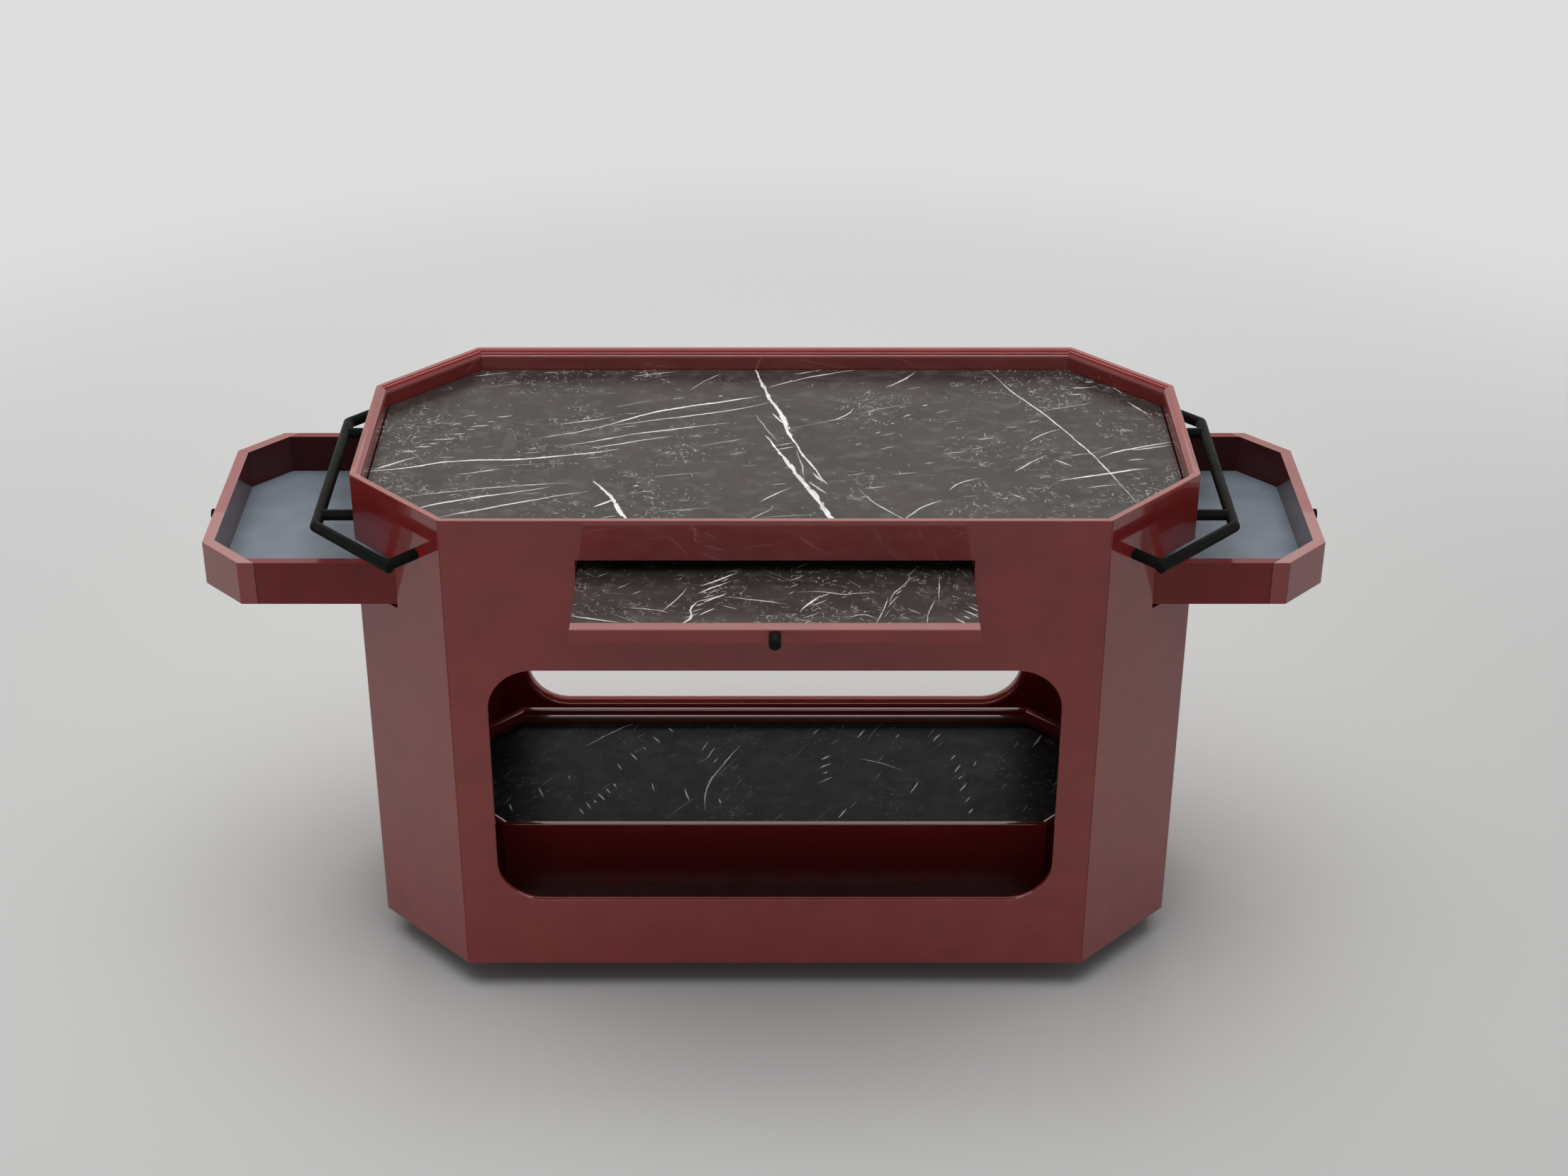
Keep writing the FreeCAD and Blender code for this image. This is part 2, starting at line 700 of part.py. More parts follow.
def fixed_nodes():
    """Pieces of the body that don't move."""
    runners = [drawer_runner(-1), drawer_runner(1)]
    handle = right_handle()
    plates = [caster_plate(x, y) for x, y in caster_places()]
    screws = [screw for x, y in caster_places() for screw in caster_screws(x, y)]
    top_slab = inner_board(marble_low, marble_top, marble_gap)
    tray_slab = tray_level(tray_marble_low, tray_marble_top, marble_gap)
    return {
        "front_panel": front_panel(),
        "back_panel": soften_outside(window_panel(BACK), BACK),
        "front_left_corner_panel": corner_panel(FRONT_LEFT),
        "front_right_corner_panel": corner_panel(FRONT_RIGHT),
        "back_left_corner_panel": corner_panel(BACK_LEFT),
        "back_right_corner_panel": corner_panel(BACK_RIGHT),
        "left_end_upper_panel": end_upper_panel(LEFT),
        "left_end_lower_panel": end_lower_panel(LEFT),
        "right_end_upper_panel": end_upper_panel(RIGHT),
        "right_end_lower_panel": end_lower_panel(RIGHT),
        "base_board": base_board(),
        "drawer_deck": inner_board(deck_low, deck_top, 0),
        "top_board": inner_board(top_board_low, marble_low, 0),
        "marble_top": eased_slab(top_slab, marble_top, marble_edge),
        "tray_walls": tray_walls(),
        "tray_board": tray_level(tray_marble_low - tray_board_thickness, tray_marble_low, 0),
        "tray_marble": eased_slab(tray_slab, tray_marble_top, marble_edge),
        "right_handle": handle,
        "left_handle": mirrored(handle),
        "handle_screws": handle_screws(),
        "drawer_runners": Part.makeCompound(runners + [mirrored(runner) for runner in runners]),
        "shelf_runners": Part.makeCompound([shelf_runner(-1), shelf_runner(1)]),
        "drawer_pads": drawer_pads(),
        "shelf_pads": shelf_pads(),
        "caster_plates": Part.makeCompound(plates),
        "caster_screws": Part.makeCompound(screws),
    }


def moving_nodes():
    """Pieces of the drawers, the shelf and the casters, where they stand at rest."""
    nodes = {}
    for name, piece in right_drawer().items():
        nodes[f"right_drawer_{name}"] = shifted(piece, right_drawer_open, 0)
        nodes[f"left_drawer_{name}"] = shifted(mirrored(piece), -left_drawer_open, 0)
    for name, piece in shelf().items():
        nodes[f"shelf_{name}"] = shifted(piece, 0, -shelf_open)
    corners = ("front_left", "front_right", "back_left", "back_right")
    for corner, (x, y) in zip(corners, caster_places()):
        nodes[f"{corner}_caster_fork"] = fork(x, y)
        nodes[f"{corner}_caster_axle"] = axle(x, y)
        nodes[f"{corner}_caster_wheel"] = wheel(x, y)
    return nodes


def main():
    """Build every piece and write its file."""
    os.makedirs("parts", exist_ok=True)
    nodes = {**fixed_nodes(), **moving_nodes()}
    for name, shape in nodes.items():
        shape.exportStep(os.path.join("parts", f"{name}.step"))
        box = shape.BoundBox
        print(f"{name}: {len(shape.Solids)} solids, valid {shape.isValid()}, "
              f"{box.XLength:.1f} x {box.YLength:.1f} x {box.ZLength:.1f} mm")


main()
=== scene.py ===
"""Looks of an octagonal bar cart: lacquered boards, veined stone, lined drawers and black tube handles.

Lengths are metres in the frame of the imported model: X runs along the cart, -Y is its front and Z is up.
"""

import logging
import math
from dataclasses import dataclass
from enum import Enum
from typing import ClassVar

import bmesh
import bpy
from mathutils import Matrix, Vector


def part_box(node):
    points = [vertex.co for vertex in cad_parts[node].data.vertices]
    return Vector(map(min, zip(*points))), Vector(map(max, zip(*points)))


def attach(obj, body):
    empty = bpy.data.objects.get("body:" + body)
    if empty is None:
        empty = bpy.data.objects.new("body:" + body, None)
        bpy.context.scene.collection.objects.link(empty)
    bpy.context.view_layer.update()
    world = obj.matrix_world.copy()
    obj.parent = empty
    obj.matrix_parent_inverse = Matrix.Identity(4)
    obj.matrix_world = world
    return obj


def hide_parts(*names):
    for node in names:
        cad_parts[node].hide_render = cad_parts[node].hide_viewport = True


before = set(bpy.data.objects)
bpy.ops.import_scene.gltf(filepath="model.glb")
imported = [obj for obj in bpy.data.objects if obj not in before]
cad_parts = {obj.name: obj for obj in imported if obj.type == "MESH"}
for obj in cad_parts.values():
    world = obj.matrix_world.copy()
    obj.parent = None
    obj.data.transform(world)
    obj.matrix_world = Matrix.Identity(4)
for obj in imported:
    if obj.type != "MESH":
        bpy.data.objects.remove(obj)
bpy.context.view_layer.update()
LOG = logging.getLogger("bar_cart")

Triple = tuple[float, float, float]
Range = tuple[float, float]
PlanPoint = tuple[float, float]
Socket = bpy.types.NodeSocket
Feed = Socket | float | tuple[float, ...]
Inputs = dict[str | int, Feed]
Mesh = bmesh.types.BMesh
Edges = list[bmesh.types.BMEdge]
WHITE = (1.0, 1.0, 1.0)
WARM_WHITE = (1.0, 0.97, 0.93)
MILLIMETRE = 0.001
# Half of the turn between two sides of the octagon
HALF_CORNER = math.pi / 8


class Slot(Enum):
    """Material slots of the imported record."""

    BLACK_METAL = "black_metal"
    NYLON = "nylon"
    WHEEL_RUBBER = "wheel_rubber"


class Side(Enum):
    """Ends of the cart, with the sign of X that each lies on."""

    LEFT = -1
    RIGHT = 1

    @property
    def word(self) -> str:
        """Name of the end as the nodes use it."""
        return self.name.lower()


class Reach(Enum):
    """What a studio lamp acts on."""

    SURFACES = "surfaces"
    REFLECTIONS = "reflections"


class NodeSheet:
    """Node tree of a material or a shared effect, with short calls that add nodes to it."""

    def __init__(self, tree: bpy.types.NodeTree) -> None:
        """Keep the tree that the calls add to."""
        self.tree = tree

    @classmethod
    def cleared(cls, owner: bpy.types.Material | bpy.types.World) -> "NodeSheet":
        """Empty the node tree of a material or of the surroundings.

        Args:
            owner: the material or the world.

        Returns:
            A sheet on its empty tree.
        """
        owner.use_nodes = True
        owner.node_tree.nodes.clear()
        return cls(owner.node_tree)

    def add(self, kind: str, inputs: Inputs | None = None, **options: object) -> bpy.types.Node:
        """Add a node, set its options and fill its inputs.

        Args:
            kind: Blender's name of the node type.
            inputs: plain values or sockets, by the input's name or number.
            options: settings of the node, such as its operation.

        Returns:
            The new node.
        """
        node = self.tree.nodes.new(kind)
        for option, value in options.items():
            setattr(node, option, value)
        for key, feed in (inputs or {}).items():
            self.fill(node.inputs[key], feed)
        return node

    def fill(self, socket: Socket, feed: Feed) -> None:
        """Link a socket to the feed, or set it to the feed's plain value.

        Args:
            socket: input that is filled.
            feed: another node's output, a number or a row of numbers.
        """
        if isinstance(feed, bpy.types.NodeSocket):
            self.tree.links.new(feed, socket)
        elif socket.type == "RGBA":
            socket.default_value = (*feed[:3], 1.0)
        else:
            socket.default_value = feed

    def math(self, operation: str, first: Feed, second: Feed = 0.0) -> Socket:
        """Output of a Math node on two numbers."""
        return self.add("ShaderNodeMath", {0: first, 1: second}, operation=operation).outputs[0]

    def vector(self, operation: str, first: Feed, second: Feed) -> Socket:
        """Vector output of a Vector Math node on two vectors."""
        return self.add("ShaderNodeVectorMath", {0: first, 1: second}, operation=operation).outputs[0]

    def dot(self, first: Feed, second: Feed) -> Socket:
        """Dot product of two vectors."""
        node = self.add("ShaderNodeVectorMath", {0: first, 1: second}, operation="DOT_PRODUCT")
        return node.outputs["Value"]

    def remap(self, value: Feed, low: float, high: float, to_low: Feed = 0.0, to_high: Feed = 1.0) -> Socket:
        """Value eased from one range to another and held at its ends.

        Args:
            value: number that is mapped.
            low: start of its range.
            high: end of its range.
            to_low: result at the start.
            to_high: result at the end.

        Returns:
            The eased value.
        """
        inputs = {"Value": value, "From Min": low, "From Max": high, "To Min": to_low, "To Max": to_high}
        return self.add("ShaderNodeMapRange", inputs, interpolation_type="SMOOTHSTEP").outputs["Result"]

    def noise(self, place: Socket, scale: Feed, detail: float = 2.0, output: str = "Fac") -> Socket:
        """Smooth noise at a place.

        Args:
            place: coordinates.
            scale: spots per metre.
            detail: number of finer layers.
            output: Fac for a number, Color for three.

        Returns:
            The noise, around one half.
        """
        inputs = {"Vector": place, "Scale": scale, "Detail": detail}
        return self.add("ShaderNodeTexNoise", inputs).outputs[output]

    def turned(self, place: Socket, angle: float, stretch: Triple) -> Socket:
        """Coordinates turned about Z and then squeezed along the turned axes.

        Args:
            place: coordinates.
            angle: turn in degrees.
            stretch: scale along X, Y and Z.

        Returns:
            The new coordinates.
        """
        inputs = {"Vector": place, "Rotation": (0.0, 0.0, math.radians(angle)), "Scale": stretch}
        return self.add("ShaderNodeMapping", inputs).outputs["Vector"]

    def curve(self, value: Socket, points: list[PlanPoint]) -> Socket:
        """Smooth curve through a few points.

        Args:
            value: number from 0 to 1 along the curve.
            points: places on the curve, from 0 to 1 both ways.

        Returns:
            The curve's height there.
        """
        node = self.add("ShaderNodeFloatCurve", {"Value": value})
        knots = node.mapping.curves[0].points
        knots[0].location = points[0]
        knots[1].location = points[-1]
        for point in points[1:-1]:
            knots.new(*point)
        node.mapping.update()
        return node.outputs[0]

    def mixed(self, factor: Feed, first: Feed, second: Feed, blend: str = "MIX") -> Socket:
        """Two colours blended by a factor.

        Args:
            factor: share of the second colour.
            first: colour at 0.
            second: colour at 1.
            blend: way of blending.

        Returns:
            The blended colour.
        """
        node = self.add("ShaderNodeMix", {"Factor": factor}, data_type="RGBA", blend_type=blend)
        colours = {socket.name: socket for socket in node.inputs if socket.type == "RGBA"}
        self.fill(colours["A"], first)
        self.fill(colours["B"], second)
        return next(socket for socket in node.outputs if socket.type == "RGBA")

    def shaded(self, colour: Feed, amount: Socket) -> Socket:
        """Colour made lighter or darker by an amount around 1."""
        return self.mixed(1.0, colour, amount, "MULTIPLY")

    def place(self) -> Socket:
        """Object coordinates, which are metres in the cart's frame."""
        return self.add("ShaderNodeTexCoord").outputs["Object"]


class SharedEffect:
    """Shader node group with named inputs, built once and placed in each material that uses it."""

    name: ClassVar[str]
    inputs: ClassVar[dict[str, float]]
    output: ClassVar[str] = "Mask"

    @classmethod
    def tree(cls) -> bpy.types.NodeTree:
        """Node group of the effect, made on first use.

        Returns:
            The group.
        """
        known = bpy.data.node_groups.get(cls.name)
        if known:
            return known
        group = bpy.data.node_groups.new(cls.name, "ShaderNodeTree")
        group.interface.new_socket("Place", in_out="INPUT", socket_type="NodeSocketVector")
        for label, value in cls.inputs.items():
            socket = group.interface.new_socket(label, in_out="INPUT", socket_type="NodeSocketFloat")
            socket.default_value = value
        group.interface.new_socket(cls.output, in_out="OUTPUT", socket_type="NodeSocketFloat")
        sheet = NodeSheet(group)
        entry = sheet.add("NodeGroupInput")
        result = cls.draw(sheet, entry.outputs)
        sheet.add("NodeGroupOutput", {cls.output: result})
        return group

    @classmethod
    def on(cls, sheet: NodeSheet, place: Socket, **values: Feed) -> Socket:
        """Place the effect in a material.

        Args:
            sheet: the material's nodes.
            place: coordinates that the effect reads.
            values: the effect's inputs, named in lower case.

        Returns:
            The effect's output.
        """
        inputs = {label.capitalize(): value for label, value in values.items()}
        node = sheet.add("ShaderNodeGroup", node_tree=cls.tree())
        for label, value in {"Place": place, **inputs}.items():
            sheet.fill(node.inputs[label], value)
        return node.outputs[0]

    @classmethod
    def draw(cls, sheet: NodeSheet, entry: bpy.types.NodeOutputs) -> Socket:
        """Draw the effect's nodes.

        Args:
            sheet: the group's nodes.
            entry: the group's inputs.

        Returns:
            The effect's result.
        """
        raise NotImplementedError


class Clouds(SharedEffect):
    """Soft blotches between a low and a high value."""

    name = "soft_clouds"
    inputs = {"Scale": 10.0, "Low": 0.9, "High": 1.1}
    output = "Value"
    detail: ClassVar[float] = 4.0
    noise_range: ClassVar[Range] = (0.32, 0.68)

    @classmethod
    def draw(cls, sheet: NodeSheet, entry: bpy.types.NodeOutputs) -> Socket:
        """Noise eased into the range."""
        noise = sheet.noise(entry["Place"], entry["Scale"], detail=cls.detail)
        return sheet.remap(noise, *cls.noise_range, entry["Low"], entry["High"])

    @classmethod
    def between(cls, sheet: NodeSheet, place: Socket, scale: float, ends: Range,
                middle: float = 1.0) -> Socket:
        """Place clouds that run between two shares of a middle value.

        Args:
            sheet: the material's nodes.
            place: coordinates.
            scale: blotches per metre.
            ends: lowest and highest share.
            middle: value that the shares are of.

        Returns:
            The clouds.
        """
        low, high = ends
        return cls.on(sheet, place, scale=scale, low=middle * low, high=middle * high)


class Strokes(SharedEffect):
    """Short scattered strokes, at most one to a cell, each with its own turn, bow and brightness."""

    name = "stone_strokes"
    inputs = {
        "Scale": 50.0, "Length": 0.004, "Width": 0.001, "Bow": 0.6,
        "Turn": 0.0, "Spread": 6.3, "Cover": 0.4,
    }
    soft_edge: ClassVar[float] = 0.7
    faintest: ClassVar[float] = 0.2
    even_chance: ClassVar[float] = 0.5

    @classmethod
    def draw(cls, sheet: NodeSheet, entry: bpy.types.NodeOutputs) -> Socket:
        """Draw a bowed lens about the middle of each chosen cell.

        Args:
            sheet: the group's nodes.
            entry: the group's inputs.

        Returns:
            The mask of the strokes.
        """
        cells = sheet.add("ShaderNodeTexVoronoi", {"Vector": entry["Place"], "Scale": entry["Scale"]},
                          voronoi_dimensions="2D")
        chance = sheet.add("ShaderNodeSeparateColor", {"Color": cells.outputs["Color"]}).outputs
        from_middle = sheet.vector("SUBTRACT", entry["Place"], cells.outputs["Position"])
        swing = sheet.math("SUBTRACT", chance["Red"], cls.even_chance)
        angle = sheet.math("SUBTRACT", sheet.math("MULTIPLY", swing, entry["Spread"]), entry["Turn"])
        turned = sheet.add("ShaderNodeVectorRotate", {"Vector": from_middle, "Angle": angle},
                           rotation_type="Z_AXIS")
        axes = sheet.add("ShaderNodeSeparateXYZ", {"Vector": turned.outputs["Vector"]}).outputs
        along = sheet.math("DIVIDE", axes["X"], entry["Length"])
        square = sheet.math("MULTIPLY", along, along)
        lean = sheet.math("SUBTRACT", chance["Green"], cls.even_chance)
        bow = sheet.math("MULTIPLY", lean, entry["Bow"])
        middle = sheet.math("MULTIPLY", sheet.math("MULTIPLY", bow, square), entry["Length"])
        aside = sheet.math("ABSOLUTE", sheet.math("SUBTRACT", axes["Y"], middle))
        room = sheet.math("SUBTRACT", 1.0, square)
        inside = sheet.math("SUBTRACT", room, sheet.math("DIVIDE", aside, entry["Width"]))
        drawn = sheet.remap(inside, 0.0, cls.soft_edge)
        lit = sheet.remap(chance["Blue"], 0.0, entry["Cover"], 1.0, cls.faintest)
        chosen = sheet.math("LESS_THAN", chance["Blue"], entry["Cover"])
        return sheet.math("MULTIPLY", drawn, sheet.math("MULTIPLY", lit, chosen))


class Specks(SharedEffect):
    """Small scattered grains."""

    name = "stone_specks"
    inputs = {"Scale": 60.0, "Size": 0.2, "Cover": 0.15}
    soft_edge: ClassVar[float] = 0.08

    @classmethod
    def draw(cls, sheet: NodeSheet, entry: bpy.types.NodeOutputs) -> Socket:
        """Draw the middles of a few cells of a cell pattern.

        Args:
            sheet: the group's nodes.
            entry: the group's inputs.

        Returns:
            The mask of the grains.
        """
        cells = sheet.add("ShaderNodeTexVoronoi", {"Vector": entry["Place"], "Scale": entry["Scale"]})
        near = sheet.math("SUBTRACT", entry["Size"], cells.outputs["Distance"])
        chosen = sheet.math("LESS_THAN", cells.outputs["Color"], entry["Cover"])
        return sheet.math("MULTIPLY", sheet.remap(near, 0.0, cls.soft_edge), chosen)


class FineGrain(SharedEffect):
    """Height of a fine even grain."""

    name = "fine_grain"
    inputs = {"Scale": 900.0, "Pores": 0.3}
    output = "Height"

    @classmethod
    def draw(cls, sheet: NodeSheet, entry: bpy.types.NodeOutputs) -> Socket:
        """Add a share of cell pattern to noise.

        Args:
            sheet: the group's nodes.
            entry: the group's inputs.

        Returns:
            The height of the grain.
        """
        noise = sheet.noise(entry["Place"], entry["Scale"])
        cells = sheet.add("ShaderNodeTexVoronoi", {"Vector": entry["Place"], "Scale": entry["Scale"]})
        pores = sheet.math("MULTIPLY", cells.outputs["Distance"], entry["Pores"])
        return sheet.math("ADD", noise, pores)


@dataclass(frozen=True)
class Vein:
    """White vein in a slab, through a few points in plan, from tip to tip."""

    points: tuple[PlanPoint, ...]
    width: float
    strength: float = 0.8
    widest: float = 0.5
    middle: ClassVar[float] = 0.5
    tip_run: ClassVar[float] = 0.1
    tip_share: ClassVar[float] = 0.5
    widest_margin: ClassVar[float] = 0.15
    thick: ClassVar[float] = 4.5 * MILLIMETRE
    soft_edge: ClassVar[float] = 0.5 * MILLIMETRE
    splinters_along: ClassVar[float] = 42.0
    splinters_across: ClassVar[float] = 300.0
    splinter_range: ClassVar[Range] = (0.5, 1.3)

    def line(self) -> tuple[Vector, Vector, Vector]:
        """Straight line between the vein's tips.

        Returns:
            The first tip, the run to the last tip and the direction to the left of the run.
        """
        first = Vector(self.points[0])
        run = Vector(self.points[-1]) - first
        axis = run.normalized()
        return first, run, Vector((-axis.y, axis.x))

    def gap(self, sheet: NodeSheet, along: Socket, aside: Socket) -> Socket:
        """Distance from the vein's middle line.

        Args:
            sheet: the stone's nodes.
            along: share of the way from the first tip to the last.
            aside: distance to the left of the straight line between the tips, plus the middle.

        Returns:
            The distance, in metres.
        """
        if len(self.points) == 2:
            return sheet.math("ABSOLUTE", sheet.math("SUBTRACT", aside, self.middle))
        first, run, side = self.line()
        axis = run.normalized()
        knots = []
        for point in self.points:
            reach = Vector(point) - first
            knots.append((reach.dot(axis) / run.length, reach.dot(side) + self.middle))
        return sheet.math("ABSOLUTE", sheet.math("SUBTRACT", aside, sheet.curve(along, knots)))

    def taper(self, sheet: NodeSheet, along: Socket) -> Socket:
        """Share of the full width at a place along the vein.

        Args:
            sheet: the stone's nodes.
            along: share of the way from the first tip to the last.

        Returns:
            The share, which is 0 at both tips.
        """
        if len(self.points) == 2:
            rest = sheet.math("SUBTRACT", 1.0, along)
            return sheet.math("MULTIPLY", sheet.math("MULTIPLY", along, rest), 4.0)
        widest = min(max(self.widest, self.widest_margin), 1.0 - self.widest_margin)
        near_tip = (self.tip_run, self.tip_share)
        far_tip = (1.0 - self.tip_run, self.tip_share)
        return sheet.curve(along, [(0.0, 0.0), near_tip, (widest, 1.0), far_tip, (1.0, 0.0)])

    def splinters(self, sheet: NodeSheet, along: Socket, aside: Socket, length: float) -> Socket:
        """Uneven factor on a thick vein's width, drawn out along the vein.

        Args:
            sheet: the stone's nodes.
            along: share of the way from the first tip to the last.
            aside: distance to the left of the straight line between the tips, plus the middle.
            length: distance between the tips.

        Returns:
            The factor, which splits the vein's edges into splinters.
        """
        axes = {"X": sheet.math("MULTIPLY", along, length * self.splinters_along),
                "Y": sheet.math("MULTIPLY", aside, self.splinters_across)}
        drawn_out = sheet.add("ShaderNodeCombineXYZ", axes).outputs[0]
        return Clouds.between(sheet, drawn_out, 1.0, self.splinter_range)

    def mask(self, sheet: NodeSheet, place: Socket, ragged: Socket) -> Socket:
        """Nodes that draw the vein.

        Args:
            sheet: the stone's nodes.
            place: coordinates, already wavered.
            ragged: slow uneven factor on the width.

        Returns:
            How much of the surface the vein covers there.
        """
        first, run, side = self.line()
        local = sheet.vector("SUBTRACT", place, (*(first - side * self.middle), 0.0))
        along = sheet.dot(local, (*(run.normalized() / run.length), 0.0))
        aside = sheet.dot(local, (*side, 0.0))
        gap = self.gap(sheet, along, aside)
        half = sheet.math("MULTIPLY", self.taper(sheet, along), self.width / 2)
        uneven = ragged
        if self.width > self.thick:
            uneven = sheet.math("MULTIPLY", ragged, self.splinters(sheet, along, aside, run.length))
        inside = sheet.math("SUBTRACT", sheet.math("MULTIPLY", half, uneven), gap)
        return sheet.remap(inside, -self.soft_edge / 4, self.soft_edge, 0.0, self.strength)


def dashes(first: PlanPoint, last: PlanPoint, count: int, length: float, lean: float,
           width: float = 0.0035, strength: float = 0.7) -> tuple[Vein, ...]:
    """Row of short parallel dashes, each a step on from the one before.

    Args:
        first: middle of the first dash.
        last: middle of the last dash.
        count: number of dashes.
        length: usual length of a dash.
        lean: angle of the dashes to X, in degrees.
        width: width of a dash at its middle.
        strength: usual share of white in a dash.

    Returns:
        One vein for each dash.
    """
    row = []
    turn = math.radians(lean)
    half = Vector((math.cos(turn), math.sin(turn))) * length / 2
    for index in range(count):
        # Sines make the dashes' lengths, places and strengths uneven in the same way on each run
        reach = half * (0.85 + 0.4 * math.sin(2.4 * index))
        step = index / (count - 1) + 0.02 * math.sin(1.7 * index)
        bright = strength * (1.0 + 0.28 * math.sin(3.1 * index))
        centre = Vector(first).lerp(Vector(last), step)
        row.append(Vein((tuple(centre - reach), tuple(centre + reach)), width, bright))
    return tuple(row)


@dataclass(frozen=True)
class Finish:
    """Surface finish; each kind paints its own nodes."""

    name: str
    colour: Triple

    def material(self) -> bpy.types.Material:
        """Material of the finish, made on first use.

        Returns:
            The material.
        """
        known = bpy.data.materials.get(self.name)
        if known:
            return known
        made = bpy.data.materials.new(self.name)
        sheet = NodeSheet.cleared(made)
        surface = sheet.add("ShaderNodeBsdfPrincipled")
        sheet.add("ShaderNodeOutputMaterial", {"Surface": surface.outputs["BSDF"]})
        self.paint(sheet, surface)
        made.diffuse_color = (*self.colour, 1.0)
        return made

    def paint(self, sheet: NodeSheet, surface: bpy.types.Node) -> None:
        """Fill the surface shader's inputs.

        Args:
            sheet: the material's nodes.
            surface: its surface shader.
        """
        raise NotImplementedError

    def emboss(self, sheet: NodeSheet, surface: bpy.types.Node, height: Socket, depth: float) -> None:
        """Raise the surface by a height pattern.

        Args:
            sheet: the material's nodes.
            surface: its surface shader.
            height: pattern around one half.
            depth: height of the pattern in metres.
        """
        bump = sheet.add("ShaderNodeBump", {"Height": height, "Strength": 1.0, "Distance": depth})
        sheet.fill(surface.inputs["Normal"], bump.outputs["Normal"])


@dataclass(frozen=True)
class Lacquer(Finish):
    """Pigmented lacquer under a polished clear coat."""

    roughness: float = 0.14
    specular: float = 0.3
    coat: float = 1.0
    coat_roughness: float = 0.015
    mottle: float = 0.06
    mottle_scale: float = 13.0
    peel_scale: float = 220.0
    peel_depth: float = 0.002 * MILLIMETRE
    haze: ClassVar[Range] = (0.8, 1.25)
    brown_shift: ClassVar[Triple] = (2.3, 5.1, 0.7)
    brown_spread: ClassVar[float] = 0.7
    brown_share: ClassVar[float] = 0.5
    brown_tint: ClassVar[Triple] = (0.97, 1.5, 0.9)

    def pigment(self, sheet: NodeSheet, place: Socket) -> Socket:
        """Colour under the clear coat.

        Args:
            sheet: the material's nodes.
            place: object coordinates.

        Returns:
            The mottled colour, a little browner in its pale spots.
        """
        scale = self.mottle_scale
        mottle = Clouds.between(sheet, place, scale, (1.0 - self.mottle, 1.0 + self.mottle))
        elsewhere = sheet.vector("ADD", place, self.brown_shift)
        brown = Clouds.between(sheet, elsewhere, scale * self.brown_spread, (0.0, self.brown_share))
        warm = tuple(channel * tint for channel, tint in zip(self.colour, self.brown_tint))
        return sheet.shaded(sheet.mixed(brown, self.colour, warm), mottle)

    def coating(self, sheet: NodeSheet, place: Socket) -> Feed:
        """Share of clear coat over the pigment."""
        return self.coat

    def paint(self, sheet: NodeSheet, surface: bpy.types.Node) -> None:
        """Mottled pigment, a faint orange peel and a clear coat.

        Args:
            sheet: the material's nodes.
            surface: its surface shader.
        """
        place = sheet.place()
        sheet.fill(surface.inputs["Base Color"], self.pigment(sheet, place))
        haze = Clouds.between(sheet, place, self.mottle_scale * 2, self.haze, self.roughness)
        sheet.fill(surface.inputs["Roughness"], haze)
        surface.inputs["Specular IOR Level"].default_value = self.specular
        sheet.fill(surface.inputs["Coat Weight"], self.coating(sheet, place))
        surface.inputs["Coat Roughness"].default_value = self.coat_roughness
        peel = FineGrain.on(sheet, place, scale=self.peel_scale, pores=0.0)
        self.emboss(sheet, surface, peel, self.peel_depth)


